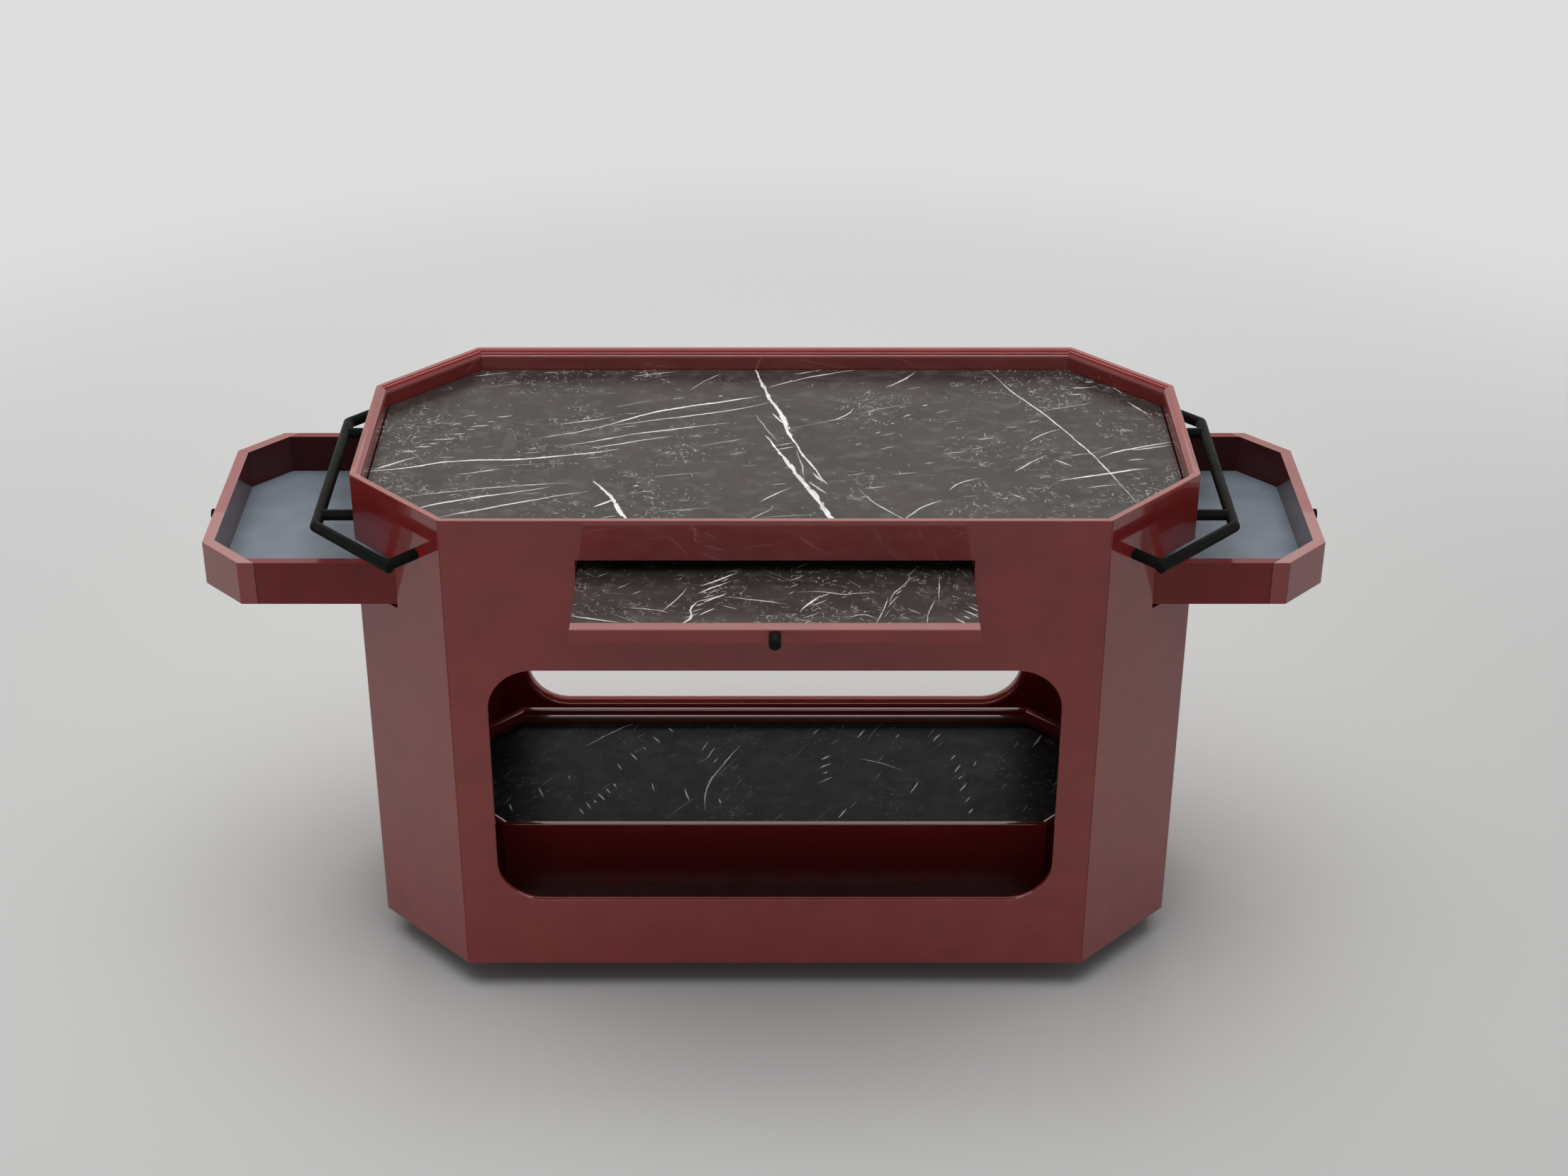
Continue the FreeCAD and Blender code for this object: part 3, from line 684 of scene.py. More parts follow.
@dataclass(frozen=True)
class DrawerLacquer(Lacquer):
    """Lacquer of a drawer: painted shade on the faces that look into it, dark seams between its boards."""

    side: int = 1
    drawn: float = 0.0
    face: float = 0.0
    front_half: float = 0.0
    board: float = 0.0
    inner_half: float = 0.0
    centre: float = 0.4
    # Painted shade inside the drawer: share of the colour kept on the faces that look into it
    inside: float = 0.3
    inside_coat: float = 0.3
    seam: ClassVar[float] = 0.8 * MILLIMETRE
    seam_shade: ClassVar[float] = 0.12

    def line(self, sheet: NodeSheet, distance: Socket) -> Socket:
        """Mask of a thin line where a signed distance is zero."""
        return sheet.remap(sheet.math("ABSOLUTE", distance), self.seam / 2, self.seam, 1.0, 0.0)

    def seams(self, sheet: NodeSheet, depth: Socket, half: Socket) -> Socket:
        """Mask of the joints between the front, the slanted boards and the sides.

        Args:
            sheet: the material's nodes.
            depth: place along the cart as if the drawer were shut.
            half: distance from the cart's long middle line.

        Returns:
            The mask.
        """
        ahead = sheet.math("MULTIPLY", sheet.math("SUBTRACT", depth, self.face), math.sin(HALF_CORNER))
        aside = sheet.math("MULTIPLY", sheet.math("SUBTRACT", half, self.front_half), math.cos(HALF_CORNER))
        mitre = self.line(sheet, sheet.math("SUBTRACT", ahead, aside))
        reach = self.face + self.front_half - self.board * math.sqrt(2)
        butt = self.line(sheet, sheet.math("SUBTRACT", sheet.math("ADD", depth, half), reach))
        beyond = sheet.math("GREATER_THAN", half, self.inner_half + MILLIMETRE / 2)
        return sheet.math("MAXIMUM", mitre, sheet.math("MULTIPLY", butt, beyond))

    def inner(self, sheet: NodeSheet, place: Socket) -> Socket:
        """Mask of the faces that look into the drawer.

        Args:
            sheet: the material's nodes.
            place: object coordinates.

        Returns:
            The mask.
        """
        middle = (self.side * (self.centre + self.drawn), 0.0, 0.0)
        outward = sheet.vector("MULTIPLY", sheet.vector("SUBTRACT", place, middle), (1.0, 1.0, 0.0))
        facing = sheet.dot(outward, sheet.add("ShaderNodeTexCoord").outputs["Normal"])
        return sheet.math("LESS_THAN", facing, -MILLIMETRE)

    def coating(self, sheet: NodeSheet, place: Socket) -> Feed:
        """Share of clear coat, thinner inside the drawer."""
        return sheet.remap(self.inner(sheet, place), 0.0, 1.0, self.coat, self.coat * self.inside_coat)

    def pigment(self, sheet: NodeSheet, place: Socket) -> Socket:
        """Colour under the clear coat, darkened inside the drawer as painted shade and dark in its seams.

        Args:
            sheet: the material's nodes.
            place: object coordinates.

        Returns:
            The colour.
        """
        axes = sheet.add("ShaderNodeSeparateXYZ", {"Vector": place}).outputs
        depth = sheet.math("SUBTRACT", sheet.math("MULTIPLY", axes["X"], float(self.side)), self.drawn)
        half = sheet.math("ABSOLUTE", axes["Y"])
        # Painted shade: the faces that look into the drawer are darkened
        shade = sheet.remap(self.inner(sheet, place), 0.0, 1.0, 1.0, self.inside)
        seam = sheet.remap(self.seams(sheet, depth, half), 0.0, 1.0, 1.0, self.seam_shade)
        return sheet.shaded(super().pigment(sheet, place), sheet.math("MULTIPLY", shade, seam))


@dataclass(frozen=True)
class StrokeKind:
    """One kind of short pale stroke that is strewn over a slab, crowded or along its streak."""

    scale: float
    length: float
    width: float
    bow: float
    share: float
    spread: float = 0.0
    cover: float = 0.0

    def mask(self, sheet: NodeSheet, place: Socket, streak: float, crowded: Socket) -> Socket:
        """Nodes that draw the strokes.

        Args:
            sheet: the stone's nodes.
            place: coordinates, finely wavered.
            streak: direction of the slab's streak, in degrees.
            crowded: share of cells with a stroke, for a kind that has no cover of its own.

        Returns:
            How much of the surface they cover there.
        """
        shape = {"scale": self.scale, "length": self.length, "width": self.width, "bow": self.bow}
        if not self.cover:
            return Strokes.on(sheet, place, **shape, cover=crowded)
        turn = math.radians(streak)
        return Strokes.on(sheet, place, **shape, turn=turn, spread=self.spread, cover=self.cover)


@dataclass(frozen=True)
class Stone(Finish):
    """Polished dark marble with placed veins and scattered strokes, hairs and grains."""

    veins: tuple[Vein, ...] = ()
    streak: float = 15.0
    roughness: float = 0.27
    specular: float = 0.2
    pale: float = 1.0
    crowd: float = 0.75
    clear_half: float = 0.0
    cloud_depth: float = 0.2
    vein_colour: ClassVar[Triple] = (0.92, 0.92, 0.91)
    waver: ClassVar[float] = 0.012
    waver_scale: ClassVar[float] = 11.0
    fine_waver: ClassVar[float] = 0.0022
    fine_waver_scale: ClassVar[float] = 130.0
    shift: ClassVar[PlanPoint] = (1.37, 0.71)
    strokes: ClassVar[tuple[StrokeKind, ...]] = (
        StrokeKind(scale=54.0, length=0.0065, width=0.00062, bow=1.5, share=0.72),
        StrokeKind(scale=88.0, length=0.0042, width=0.00055, bow=2.4, share=0.6),
        StrokeKind(scale=21.0, length=0.016, width=0.0012, bow=0.16, share=0.55, spread=0.5, cover=0.22),
        StrokeKind(scale=7.5, length=0.055, width=0.0011, bow=0.2, share=0.4, spread=0.35, cover=0.5),
    )
    crowd_scale: ClassVar[float] = 9.0
    crowd_low: ClassVar[float] = -0.35
    crowd_least: ClassVar[float] = 0.05
    clear_share: ClassVar[float] = 0.35
    clear_core: ClassVar[float] = 0.4
    hair_scale: ClassVar[float] = 31.0
    hair_edge: ClassVar[Range] = (0.003, 0.012)
    hair_share: ClassVar[float] = 0.34
    hair_crowd: ClassVar[Range] = (0.0, 0.5)
    break_scale: ClassVar[float] = 47.0
    break_range: ClassVar[Range] = (0.47, 0.58)
    grain_share: ClassVar[float] = 0.95
    ragged_scale: ClassVar[float] = 30.0
    ragged: ClassVar[Range] = (0.6, 1.2)
    worn_scale: ClassVar[float] = 26.0
    worn: ClassVar[Range] = (0.72, 1.12)
    drift: ClassVar[Triple] = (1.0, 1.4, 1.0)
    cloud_scale: ClassVar[float] = 8.0
    wisp_scale: ClassVar[float] = 34.0
    wisp_range: ClassVar[Range] = (-0.06, 0.03)
    gloss: ClassVar[Range] = (0.85, 1.2)

    def hairs(self, sheet: NodeSheet, place: Socket, elsewhere: Socket, crowds: Socket) -> Socket:
        """Broken hair lines where strokes crowd.

        Args:
            sheet: the material's nodes.
            place: coordinates that the lines follow.
            elsewhere: coordinates of the breaks.
            crowds: how crowded each place is.

        Returns:
            The mask of the lines.
        """
        noise = sheet.noise(place, self.hair_scale, 3.0)
        level = sheet.math("ABSOLUTE", sheet.math("SUBTRACT", noise, 0.5))
        broken = sheet.remap(sheet.noise(elsewhere, self.break_scale), *self.break_range)
        drawn = sheet.math("MULTIPLY", sheet.remap(level, *self.hair_edge, 1.0, 0.0), broken)
        return sheet.math("MULTIPLY", drawn, sheet.remap(crowds, *self.hair_crowd))

    def scattered(self, sheet: NodeSheet, place: Socket, fine: Socket) -> list[Socket]:
        """Masks of everything pale that is strewn over the slab.

        Args:
            sheet: the material's nodes.
            place: object coordinates.
            fine: the same, finely wavered.

        Returns:
            One mask for each kind.
        """
        away = sheet.math("ABSOLUTE", sheet.add("ShaderNodeSeparateXYZ", {"Vector": place}).outputs["X"])
        room = sheet.remap(away, self.clear_half * self.clear_core, self.clear_half + MILLIMETRE,
                           self.crowd * self.clear_share, self.crowd)
        crowds = Clouds.on(sheet, place, scale=self.crowd_scale, low=self.crowd_low, high=room)
        crowded = sheet.math("MAXIMUM", crowds, self.crowd_least)
        over, up = self.shift
        moved = [sheet.vector("ADD", fine, (over * step, up * step, 0.0)) for step in range(5)]
        layers = [(kind.mask(sheet, shifted, self.streak, crowded), kind.share)
                  for kind, shifted in zip(self.strokes, moved)]
        layers.append((self.hairs(sheet, moved[2], moved[4], crowds), self.hair_share))
        layers.append((Specks.on(sheet, moved[4], scale=38.0, size=0.075, cover=0.16), self.grain_share))
        return [sheet.math("MULTIPLY", mask, share * self.pale) for mask, share in layers]

    def wavers(self, sheet: NodeSheet, place: Socket, scale: float, size: float) -> Socket:
        """Small wandering shift of a place.

        Args:
            sheet: the material's nodes.
            place: object coordinates.
            scale: wanderings per metre.
            size: full width of the shift.

        Returns:
            The shift.
        """
        wander = sheet.vector("SUBTRACT", sheet.noise(place, scale, output="Color"), (0.5, 0.5, 0.5))
        return sheet.vector("MULTIPLY", wander, (size, size, size))

    def paint(self, sheet: NodeSheet, surface: bpy.types.Node) -> None:
        """Cloudy ground with everything pale laid over it.

        Args:
            sheet: the material's nodes.
            surface: its surface shader.
        """
        place = sheet.place()
        fine = sheet.vector("ADD", place, self.wavers(sheet, place, self.fine_waver_scale, self.fine_waver))
        wavered = sheet.vector("ADD", fine, self.wavers(sheet, place, self.waver_scale, self.waver))
        ragged = Clouds.between(sheet, wavered, self.ragged_scale, self.ragged)
        worn = Clouds.between(sheet, place, self.worn_scale, self.worn)
        layers = self.scattered(sheet, place, fine)
        layers += [sheet.math("MULTIPLY", vein.mask(sheet, wavered, ragged), worn) for vein in self.veins]
        cover = layers[0]
        for layer in layers[1:]:
            cover = sheet.math("MAXIMUM", cover, layer)
        drift = sheet.turned(wavered, -self.streak, self.drift)
        depth = self.cloud_depth
        clouds = Clouds.between(sheet, drift, self.cloud_scale, (1.0 - depth, 1.0 + depth))
        wisp_low, wisp_high = self.wisp_range
        wisps = Clouds.between(sheet, drift, self.wisp_scale, (wisp_low, wisp_high * self.pale))
        ground = sheet.shaded(self.colour, clouds)
        hazed = sheet.mixed(sheet.math("MAXIMUM", wisps, 0.0), ground, self.vein_colour)
        sheet.fill(surface.inputs["Base Color"], sheet.mixed(cover, hazed, self.vein_colour))
        gloss = Clouds.between(sheet, wavered, self.ragged_scale, self.gloss, self.roughness)
        sheet.fill(surface.inputs["Roughness"], gloss)
        surface.inputs["Specular IOR Level"].default_value = self.specular


@dataclass(frozen=True)
class Grained(Finish):
    """Plain coloured finish with a fine grain: powder coat, leather, nylon or rubber."""

    roughness: float = 0.5
    grain_scale: float = 900.0
    grain_depth: float = 0.02 * MILLIMETRE
    pores: float = 0.3
    variation: float = 0.08
    metal: float = 0.0
    specular: float = 0.5
    shade_scale: ClassVar[float] = 18.0
    gloss_scale: ClassVar[float] = 60.0
    gloss: ClassVar[Range] = (0.9, 1.1)

    def paint(self, sheet: NodeSheet, surface: bpy.types.Node) -> None:
        """Slightly uneven colour and roughness over a fine grain.

        Args:
            sheet: the material's nodes.
            surface: its surface shader.
        """
        place = sheet.place()
        vary = self.variation
        shade = Clouds.between(sheet, place, self.shade_scale, (1.0 - vary, 1.0 + vary))
        rough = Clouds.between(sheet, place, self.gloss_scale, self.gloss, self.roughness)
        sheet.fill(surface.inputs["Base Color"], sheet.shaded(self.colour, shade))
        sheet.fill(surface.inputs["Roughness"], rough)
        surface.inputs["Metallic"].default_value = self.metal
        surface.inputs["Specular IOR Level"].default_value = self.specular
        grain = FineGrain.on(sheet, place, scale=self.grain_scale, pores=self.pores)
        self.emboss(sheet, surface, grain, self.grain_depth)


@dataclass(frozen=True)
class Hardwood(Finish):
    """Waxed straight-grained wood, with its grain along X or Y."""

    along_y: bool = False
    roughness: ClassVar[float] = 0.45
    stretch: ClassVar[Triple] = (1.0, 22.0, 22.0)
    line_scale: ClassVar[float] = 14.0
    line_shade: ClassVar[Range] = (0.55, 1.15)

    def paint(self, sheet: NodeSheet, surface: bpy.types.Node) -> None:
        """Long darker grain lines over a warm ground.

        Args:
            sheet: the material's nodes.
            surface: its surface shader.
        """
        turn = 90.0 if self.along_y else 0.0
        drawn_out = sheet.turned(sheet.place(), turn, self.stretch)
        lines = Clouds.between(sheet, drawn_out, self.line_scale, self.line_shade)
        sheet.fill(surface.inputs["Base Color"], sheet.shaded(self.colour, lines))
        surface.inputs["Roughness"].default_value = self.roughness


TOP_VEINS = (
    # Main vein with its fork and the splinters beside it
    Vein(((-0.035, 0.3), (-0.015, 0.2), (0.01, 0.115), (0.02, 0.065), (0.035, 0.0)), 0.008, 1.0, 0.8),
    Vein(((0.03, 0.03), (0.04, -0.01), (0.055, -0.06), (0.08, -0.125)), 0.004, 0.9),
    Vein(((-0.015, 0.04), (0.02, -0.055), (0.045, -0.12), (0.065, -0.18), (0.105, -0.29)),
         0.0085, 1.0, 0.85),
    Vein(((-0.005, 0.12), (0.005, 0.1), (0.015, 0.08)), 0.0035, 0.9),
    Vein(((-0.03, 0.115), (-0.015, 0.07), (0.005, 0.015)), 0.002, 0.7),
    Vein(((0.035, -0.01), (0.04, -0.06), (0.045, -0.105)), 0.002, 0.7),
    *dashes((0.015, 0.01), (0.015, -0.005), 2, 0.04, 22.0, 0.0025),
    *dashes((0.065, -0.1), (0.065, -0.135), 2, 0.045, -60.0, 0.004),
    # Long veins on the left
    Vein(((-0.64, -0.085), (-0.56, -0.07), (-0.49, -0.05), (-0.375, -0.04), (-0.235, -0.005)),
         0.0045, 1.0, 0.6),
    Vein(((-0.61, -0.075), (-0.59, -0.06), (-0.55, -0.035)), 0.0035, 0.9, 0.3),
    Vein(((-0.37, 0.03), (-0.295, 0.06), (-0.185, 0.125), (-0.105, 0.155), (-0.01, 0.19)), 0.004, 1.0, 0.8),
    Vein(((-0.26, 0.075), (-0.15, 0.105), (-0.07, 0.13), (-0.005, 0.165)), 0.003, 0.75),
    Vein(((-0.335, 0.0), (-0.245, 0.035), (-0.185, 0.055), (-0.07, 0.085)), 0.0035, 0.85),
    Vein(((-0.29, -0.005), (-0.215, 0.02), (-0.155, 0.04)), 0.003, 0.75),
    *dashes((-0.565, -0.015), (-0.43, 0.105), 9, 0.028, 8.0),
    *dashes((-0.45, -0.085), (-0.3, 0.09), 2, 0.1, 17.0, 0.003),
    # Veins at the front left, with a thick stub
    Vein(((-0.275, -0.115), (-0.245, -0.17), (-0.235, -0.2), (-0.2, -0.27)), 0.008, 1.0, 0.75),
    Vein(((-0.27, -0.2), (-0.24, -0.175)), 0.0045, 1.0),
    Vein(((-0.56, -0.165), (-0.44, -0.14), (-0.31, -0.12)), 0.003, 0.6),
    Vein(((-0.55, -0.21), (-0.48, -0.18), (-0.415, -0.16), (-0.34, -0.135)), 0.004, 0.85, 0.25),
    Vein(((-0.51, -0.235), (-0.455, -0.215), (-0.395, -0.19), (-0.28, -0.145)), 0.0035, 0.8, 0.25),
    *dashes((-0.21, -0.13), (-0.085, 0.19), 4, 0.009, 20.0),
    # Long vein on the right with its branches
    Vein(((0.345, 0.3), (0.375, 0.22), (0.425, 0.125), (0.45, 0.065), (0.495, -0.04), (0.54, -0.19)),
         0.003, 0.85),
    Vein(((0.425, 0.13), (0.47, 0.145), (0.51, 0.16)), 0.002, 0.65),
    Vein(((0.45, 0.065), (0.42, 0.045), (0.395, 0.02)), 0.0025, 0.7),
    Vein(((0.495, -0.04), (0.555, -0.005), (0.63, 0.02)), 0.0035, 0.9),
    Vein(((0.425, -0.115), (0.49, -0.095), (0.57, -0.075)), 0.0035, 0.9),
    *dashes((0.495, -0.13), (0.585, 0.0), 4, 0.065, 14.0),
    *dashes((0.485, 0.19), (0.51, 0.235), 3, 0.038, 4.0),
    *dashes((0.55, 0.21), (0.58, 0.14), 2, 0.055, -60.0),
    # Thin veins along the back
    Vein(((-0.015, 0.215), (0.03, 0.24), (0.13, 0.28)), 0.003, 0.85),
    Vein(((-0.14, 0.205), (-0.11, 0.245), (-0.085, 0.27)), 0.0025, 0.7),
    Vein(((0.065, 0.085), (0.105, 0.105), (0.125, 0.14)), 0.003, 0.8),
    Vein(((0.18, 0.215), (0.205, 0.24), (0.235, 0.28)), 0.003, 0.75),
    *dashes((-0.465, 0.265), (0.05, 0.27), 3, 0.075, 15.0, 0.003),
    *dashes((0.24, 0.15), (0.13, 0.01), 5, 0.014, 35.0, 0.003),
    *dashes((0.15, -0.135), (0.37, 0.065), 6, 0.04, 11.0, 0.0022),
    # Thin veins along the front
    Vein(((0.125, -0.135), (0.14, -0.17), (0.16, -0.2), (0.2, -0.25)), 0.0025, 0.7),
    Vein(((0.185, -0.245), (0.22, -0.2), (0.25, -0.175)), 0.003, 0.7),
    Vein(((0.26, -0.145), (0.28, -0.12), (0.315, -0.105)), 0.003, 0.75),
    Vein(((0.365, -0.085), (0.395, -0.05), (0.42, -0.025)), 0.003, 0.7),
    *dashes((-0.02, -0.22), (0.0, -0.16), 2, 0.065, 44.0, 0.003),
    *dashes((0.365, -0.165), (0.44, -0.055), 2, 0.035, -40.0),
)
SHELF_VEINS = (
    # Bundle left of the middle
    Vein(((-0.105, -0.34), (-0.085, -0.325), (-0.06, -0.305)), 0.0036, 1.0, 0.45),
    Vein(((-0.11, -0.365), (-0.095, -0.35), (-0.07, -0.33)), 0.0032, 1.0, 0.4),
    Vein(((-0.135, -0.45), (-0.12, -0.43), (-0.12, -0.41), (-0.11, -0.39)), 0.0044, 1.0, 0.4),
    Vein(((-0.165, -0.42), (-0.14, -0.38), (-0.125, -0.345)), 0.0022, 0.85),
    *dashes((-0.095, -0.415), (-0.085, -0.375), 2, 0.04, 42.0, 0.0038, 0.95),
    *dashes((-0.06, -0.295), (-0.125, -0.44), 11, 0.034, 31.0, 0.0021),
    # Thin veins on the left
    Vein(((-0.215, -0.405), (-0.185, -0.41), (-0.15, -0.42)), 0.002, 0.75),
    Vein(((-0.295, -0.425), (-0.26, -0.435), (-0.22, -0.445)), 0.003, 0.9, 0.3),
    Vein(((-0.075, -0.37), (-0.04, -0.38), (0.02, -0.395)), 0.0022, 0.85),
    *dashes((-0.27, -0.29), (-0.2, -0.36), 5, 0.022, 35.0, 0.0016),
    # Veins right of the middle
    Vein(((0.035, -0.415), (0.05, -0.39), (0.065, -0.37)), 0.0035, 1.0),
    Vein(((0.03, -0.36), (0.065, -0.36), (0.1, -0.365), (0.12, -0.36), (0.155, -0.365)), 0.002, 0.8),
    Vein(((0.1, -0.44), (0.115, -0.425), (0.13, -0.425), (0.145, -0.44)), 0.002, 0.75),
    *dashes((0.045, -0.26), (0.025, -0.36), 6, 0.026, 42.0, 0.0022),
    *dashes((0.07, -0.37), (0.045, -0.445), 5, 0.026, 36.0, 0.0022),
    # Upright veins on the right
    Vein(((0.14, -0.45), (0.155, -0.41), (0.165, -0.375)), 0.0024, 0.8),
    Vein(((0.165, -0.4), (0.175, -0.36), (0.19, -0.335), (0.195, -0.3)), 0.002, 0.7),
    Vein(((0.215, -0.45), (0.22, -0.42), (0.23, -0.385)), 0.0022, 0.8),
    Vein(((0.235, -0.39), (0.24, -0.35), (0.24, -0.32)), 0.0018, 0.7),
    *dashes((0.16, -0.42), (0.2, -0.3), 5, 0.04, 62.0, 0.0016),
    *dashes((0.285, -0.41), (0.265, -0.445), 4, 0.026, -45.0, 0.003),
    # Veins that show when the shelf is drawn out
    Vein(((-0.05, -0.1), (-0.09, -0.18), (-0.13, -0.26)), 0.003, 0.85),
    Vein(((0.2, -0.09), (0.12, -0.15), (0.05, -0.25)), 0.0026, 0.8),
    Vein(((-0.28, -0.17), (-0.2, -0.15), (-0.1, -0.1)), 0.0022, 0.75),
)
TRAY_VEINS = (
    # Three long thin veins
    Vein(((-0.32, 0.085), (-0.29, 0.115), (-0.24, 0.16)), 0.0026, 0.9),
    Vein(((-0.115, -0.105), (-0.11, -0.03), (-0.095, 0.01), (-0.07, 0.065), (-0.055, 0.09)), 0.0034, 1.0),
    Vein(((0.14, 0.045), (0.18, 0.03), (0.215, 0.01)), 0.0026, 0.9),
    # Flecks in groups, from left to right
    *dashes((-0.43, -0.1), (-0.34, -0.01), 3, 0.03, -70.0, 0.003, 0.9),
    *dashes((-0.315, -0.11), (-0.265, -0.035), 6, 0.022, -62.0, 0.0034, 1.0),
    *dashes((-0.26, 0.02), (-0.18, 0.135), 5, 0.024, -60.0, 0.0032, 1.0),
    *dashes((-0.2, -0.04), (-0.09, -0.08), 3, 0.036, -78.0, 0.003, 0.9),
    *dashes((-0.12, 0.085), (-0.1, 0.04), 3, 0.042, 68.0, 0.003, 1.0),
    *dashes((0.085, 0.05), (0.085, -0.02), 4, 0.025, 40.0, 0.0034, 1.0),
    *dashes((0.07, 0.13), (0.28, 0.11), 4, 0.028, 60.0, 0.003, 0.9),
    *dashes((0.11, -0.115), (0.45, 0.105), 4, 0.04, 65.0, 0.0032, 0.9),
    *dashes((0.3, 0.05), (0.32, -0.105), 6, 0.026, 60.0, 0.0034, 1.0),
)

LACQUER = Lacquer("burgundy_lacquer", (0.26, 0.023, 0.024), specular=0.18, coat=0.87)
# Darker copy of the burgundy lacquer for the tray walls inside the cart: painted shade
SHADED_TRAY_LACQUER = Lacquer("painted_shade_tray_lacquer", (0.15, 0.0125, 0.0145))
# Dark copy of the burgundy lacquer for the boards inside the cart: painted shade
PAINTED_SHADE_LACQUER = Lacquer("painted_shade_inner_lacquer", (0.055, 0.006, 0.007), roughness=0.3, specular=0.15,
                        coat=0.05)
SATIN_RED = (0.19, 0.019, 0.021)
TOP_STONE = Stone("veined_top_marble", (0.041, 0.031, 0.027), TOP_VEINS, clear_half=0.18)
SHELF_STONE = Stone("veined_shelf_marble", (0.047, 0.036, 0.032), SHELF_VEINS, streak=-35.0,
                    roughness=0.3, specular=0.4)
# Near-black ground of the tray's slab: the dark marble darkened as painted shade
SHADED_TRAY_STONE = Stone("painted_shade_tray_marble", (0.009, 0.009, 0.0095), TRAY_VEINS, streak=55.0, roughness=0.35,
                   specular=0.09, pale=0.55, crowd=0.4)
LINING = Grained("smooth_grey_lining", (0.188, 0.219, 0.263), roughness=0.5, grain_scale=1400.0,
                 grain_depth=0.01 * MILLIMETRE, pores=0.5, specular=0.3)
POWDER_COAT = Grained("black_powder_coat", (0.0045, 0.0055, 0.0048), roughness=0.5, grain_scale=1600.0,
                      grain_depth=0.015 * MILLIMETRE, specular=0.07)
NYLON = Grained("black_nylon", (0.018, 0.018, 0.019), roughness=0.42, grain_scale=700.0,
                grain_depth=0.005 * MILLIMETRE)
FORK_STEEL = Grained("black_coated_steel", (0.02, 0.02, 0.022), roughness=0.36, grain_scale=1200.0,
                     grain_depth=0.008 * MILLIMETRE)
ZINC_STEEL = Grained("zinc_plated_steel", (0.55, 0.55, 0.56), roughness=0.34, grain_scale=1500.0,
                     grain_depth=0.004 * MILLIMETRE, metal=1.0)
RUBBER = Grained("dark_wheel_rubber", (0.028, 0.028, 0.029), roughness=0.68, grain_scale=800.0,
                 grain_depth=0.03 * MILLIMETRE)
WHEEL_CORE = Grained("grey_wheel_core", (0.1, 0.102, 0.106), roughness=0.45, grain_scale=700.0,
                     grain_depth=0.006 * MILLIMETRE)
DRAWER_RUNNER_WOOD = Hardwood("waxed_runner_wood", (0.3, 0.18, 0.09))
SHELF_RUNNER_WOOD = Hardwood("waxed_shelf_runner_wood", (0.3, 0.18, 0.09), along_y=True)


def dress(node: str, finish: Finish) -> None:
    """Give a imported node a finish.

    Args:
        node: name of the node.
        finish: finish that replaces its plain colour.
    """
    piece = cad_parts[node]
    if not piece.material_slots:
        piece.data.materials.append(None)
    for slot in piece.material_slots:
        slot.material = finish.material()
    LOG.info("%s: %s", node, finish.name)


def linked_object(name: str, data: bpy.types.ID) -> bpy.types.Object:
    """Add an object to the scene.

    Args:
        name: name of the object.
        data: its mesh, lamp or camera.

    Returns:
        The new object.
    """
    made = bpy.data.objects.new(name, data)
    bpy.context.scene.collection.objects.link(made)
    return made


def mesh_object(name: str, mesh: Mesh, material: bpy.types.Material) -> bpy.types.Object:
    """Turn a bmesh into an object of one material.

    Args:
        name: name of the object.
        mesh: its shape, which is freed.
        material: material of all its faces.

    Returns:
        The new object.
    """
    data = bpy.data.meshes.new(name)
    mesh.to_mesh(data)
    mesh.free()
    data.materials.append(material)
    return linked_object(name, data)


def finished_piece(name: str, mesh: Mesh, finish: Finish, body: str) -> bpy.types.Object:
    """Turn a bmesh into a piece of the cart that rides on one of its bodies.

    Args:
        name: name of the piece.
        mesh: shape, already in place in the cart's frame.
        finish: finish of all its faces.
        body: body that the piece moves with.

    Returns:
        The new object.
    """
    bmesh.ops.recalc_face_normals(mesh, faces=mesh.faces)
    piece = mesh_object(name, mesh, finish.material())
    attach(piece, body)
    LOG.info("%s: %d faces, %s", name, len(piece.data.polygons), finish.name)
    return piece


def shade_by_angle(mesh: Mesh, angle: float) -> None:
    """Shade a mesh smooth, with its steep edges kept sharp.

    Args:
        mesh: shape that is shaded.
        angle: turn between two faces, in degrees, above which their edge is sharp.
    """
    for face in mesh.faces:
        face.smooth = True
    for edge in mesh.edges:
        edge.smooth = edge.calc_face_angle(0.0) < math.radians(angle)


class PlainUnit:
    """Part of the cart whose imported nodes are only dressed."""

    finishes: ClassVar[dict[str, Finish]]

    def finish(self) -> None:
        """Dress the unit's nodes."""
        for node, finish in self.finishes.items():
            dress(node, finish)


@dataclass
class Carcass(PlainUnit):
    """Octagonal body: outer panels, hidden boards, the stone top and the runners."""

    corners: tuple[str, ...] = ("front_left", "front_right", "back_left", "back_right")
    finishes: ClassVar[dict[str, Finish]] = {
        "front_panel": LACQUER, "back_panel": LACQUER,
        "base_board": PAINTED_SHADE_LACQUER, "drawer_deck": PAINTED_SHADE_LACQUER, "top_board": PAINTED_SHADE_LACQUER,
        "marble_top": TOP_STONE,
        "drawer_runners": DRAWER_RUNNER_WOOD, "shelf_runners": SHELF_RUNNER_WOOD,
        "drawer_pads": NYLON, "shelf_pads": NYLON,
    }

    def finish(self) -> None:
        """Dress every node of the body."""
        super().finish()
        for corner in self.corners:
            dress(f"{corner}_corner_panel", LACQUER)
        for side in Side:
            for part in ("upper", "lower"):
                dress(f"{side.word}_end_{part}_panel", LACQUER)


class LowerTray(PlainUnit):
    """Open tray on the base board, with its dark slab; the slab and the walls are darkened by painted shade.
    """

    finishes = {"tray_walls": SHADED_TRAY_LACQUER, "tray_board": PAINTED_SHADE_LACQUER, "tray_marble": SHADED_TRAY_STONE}


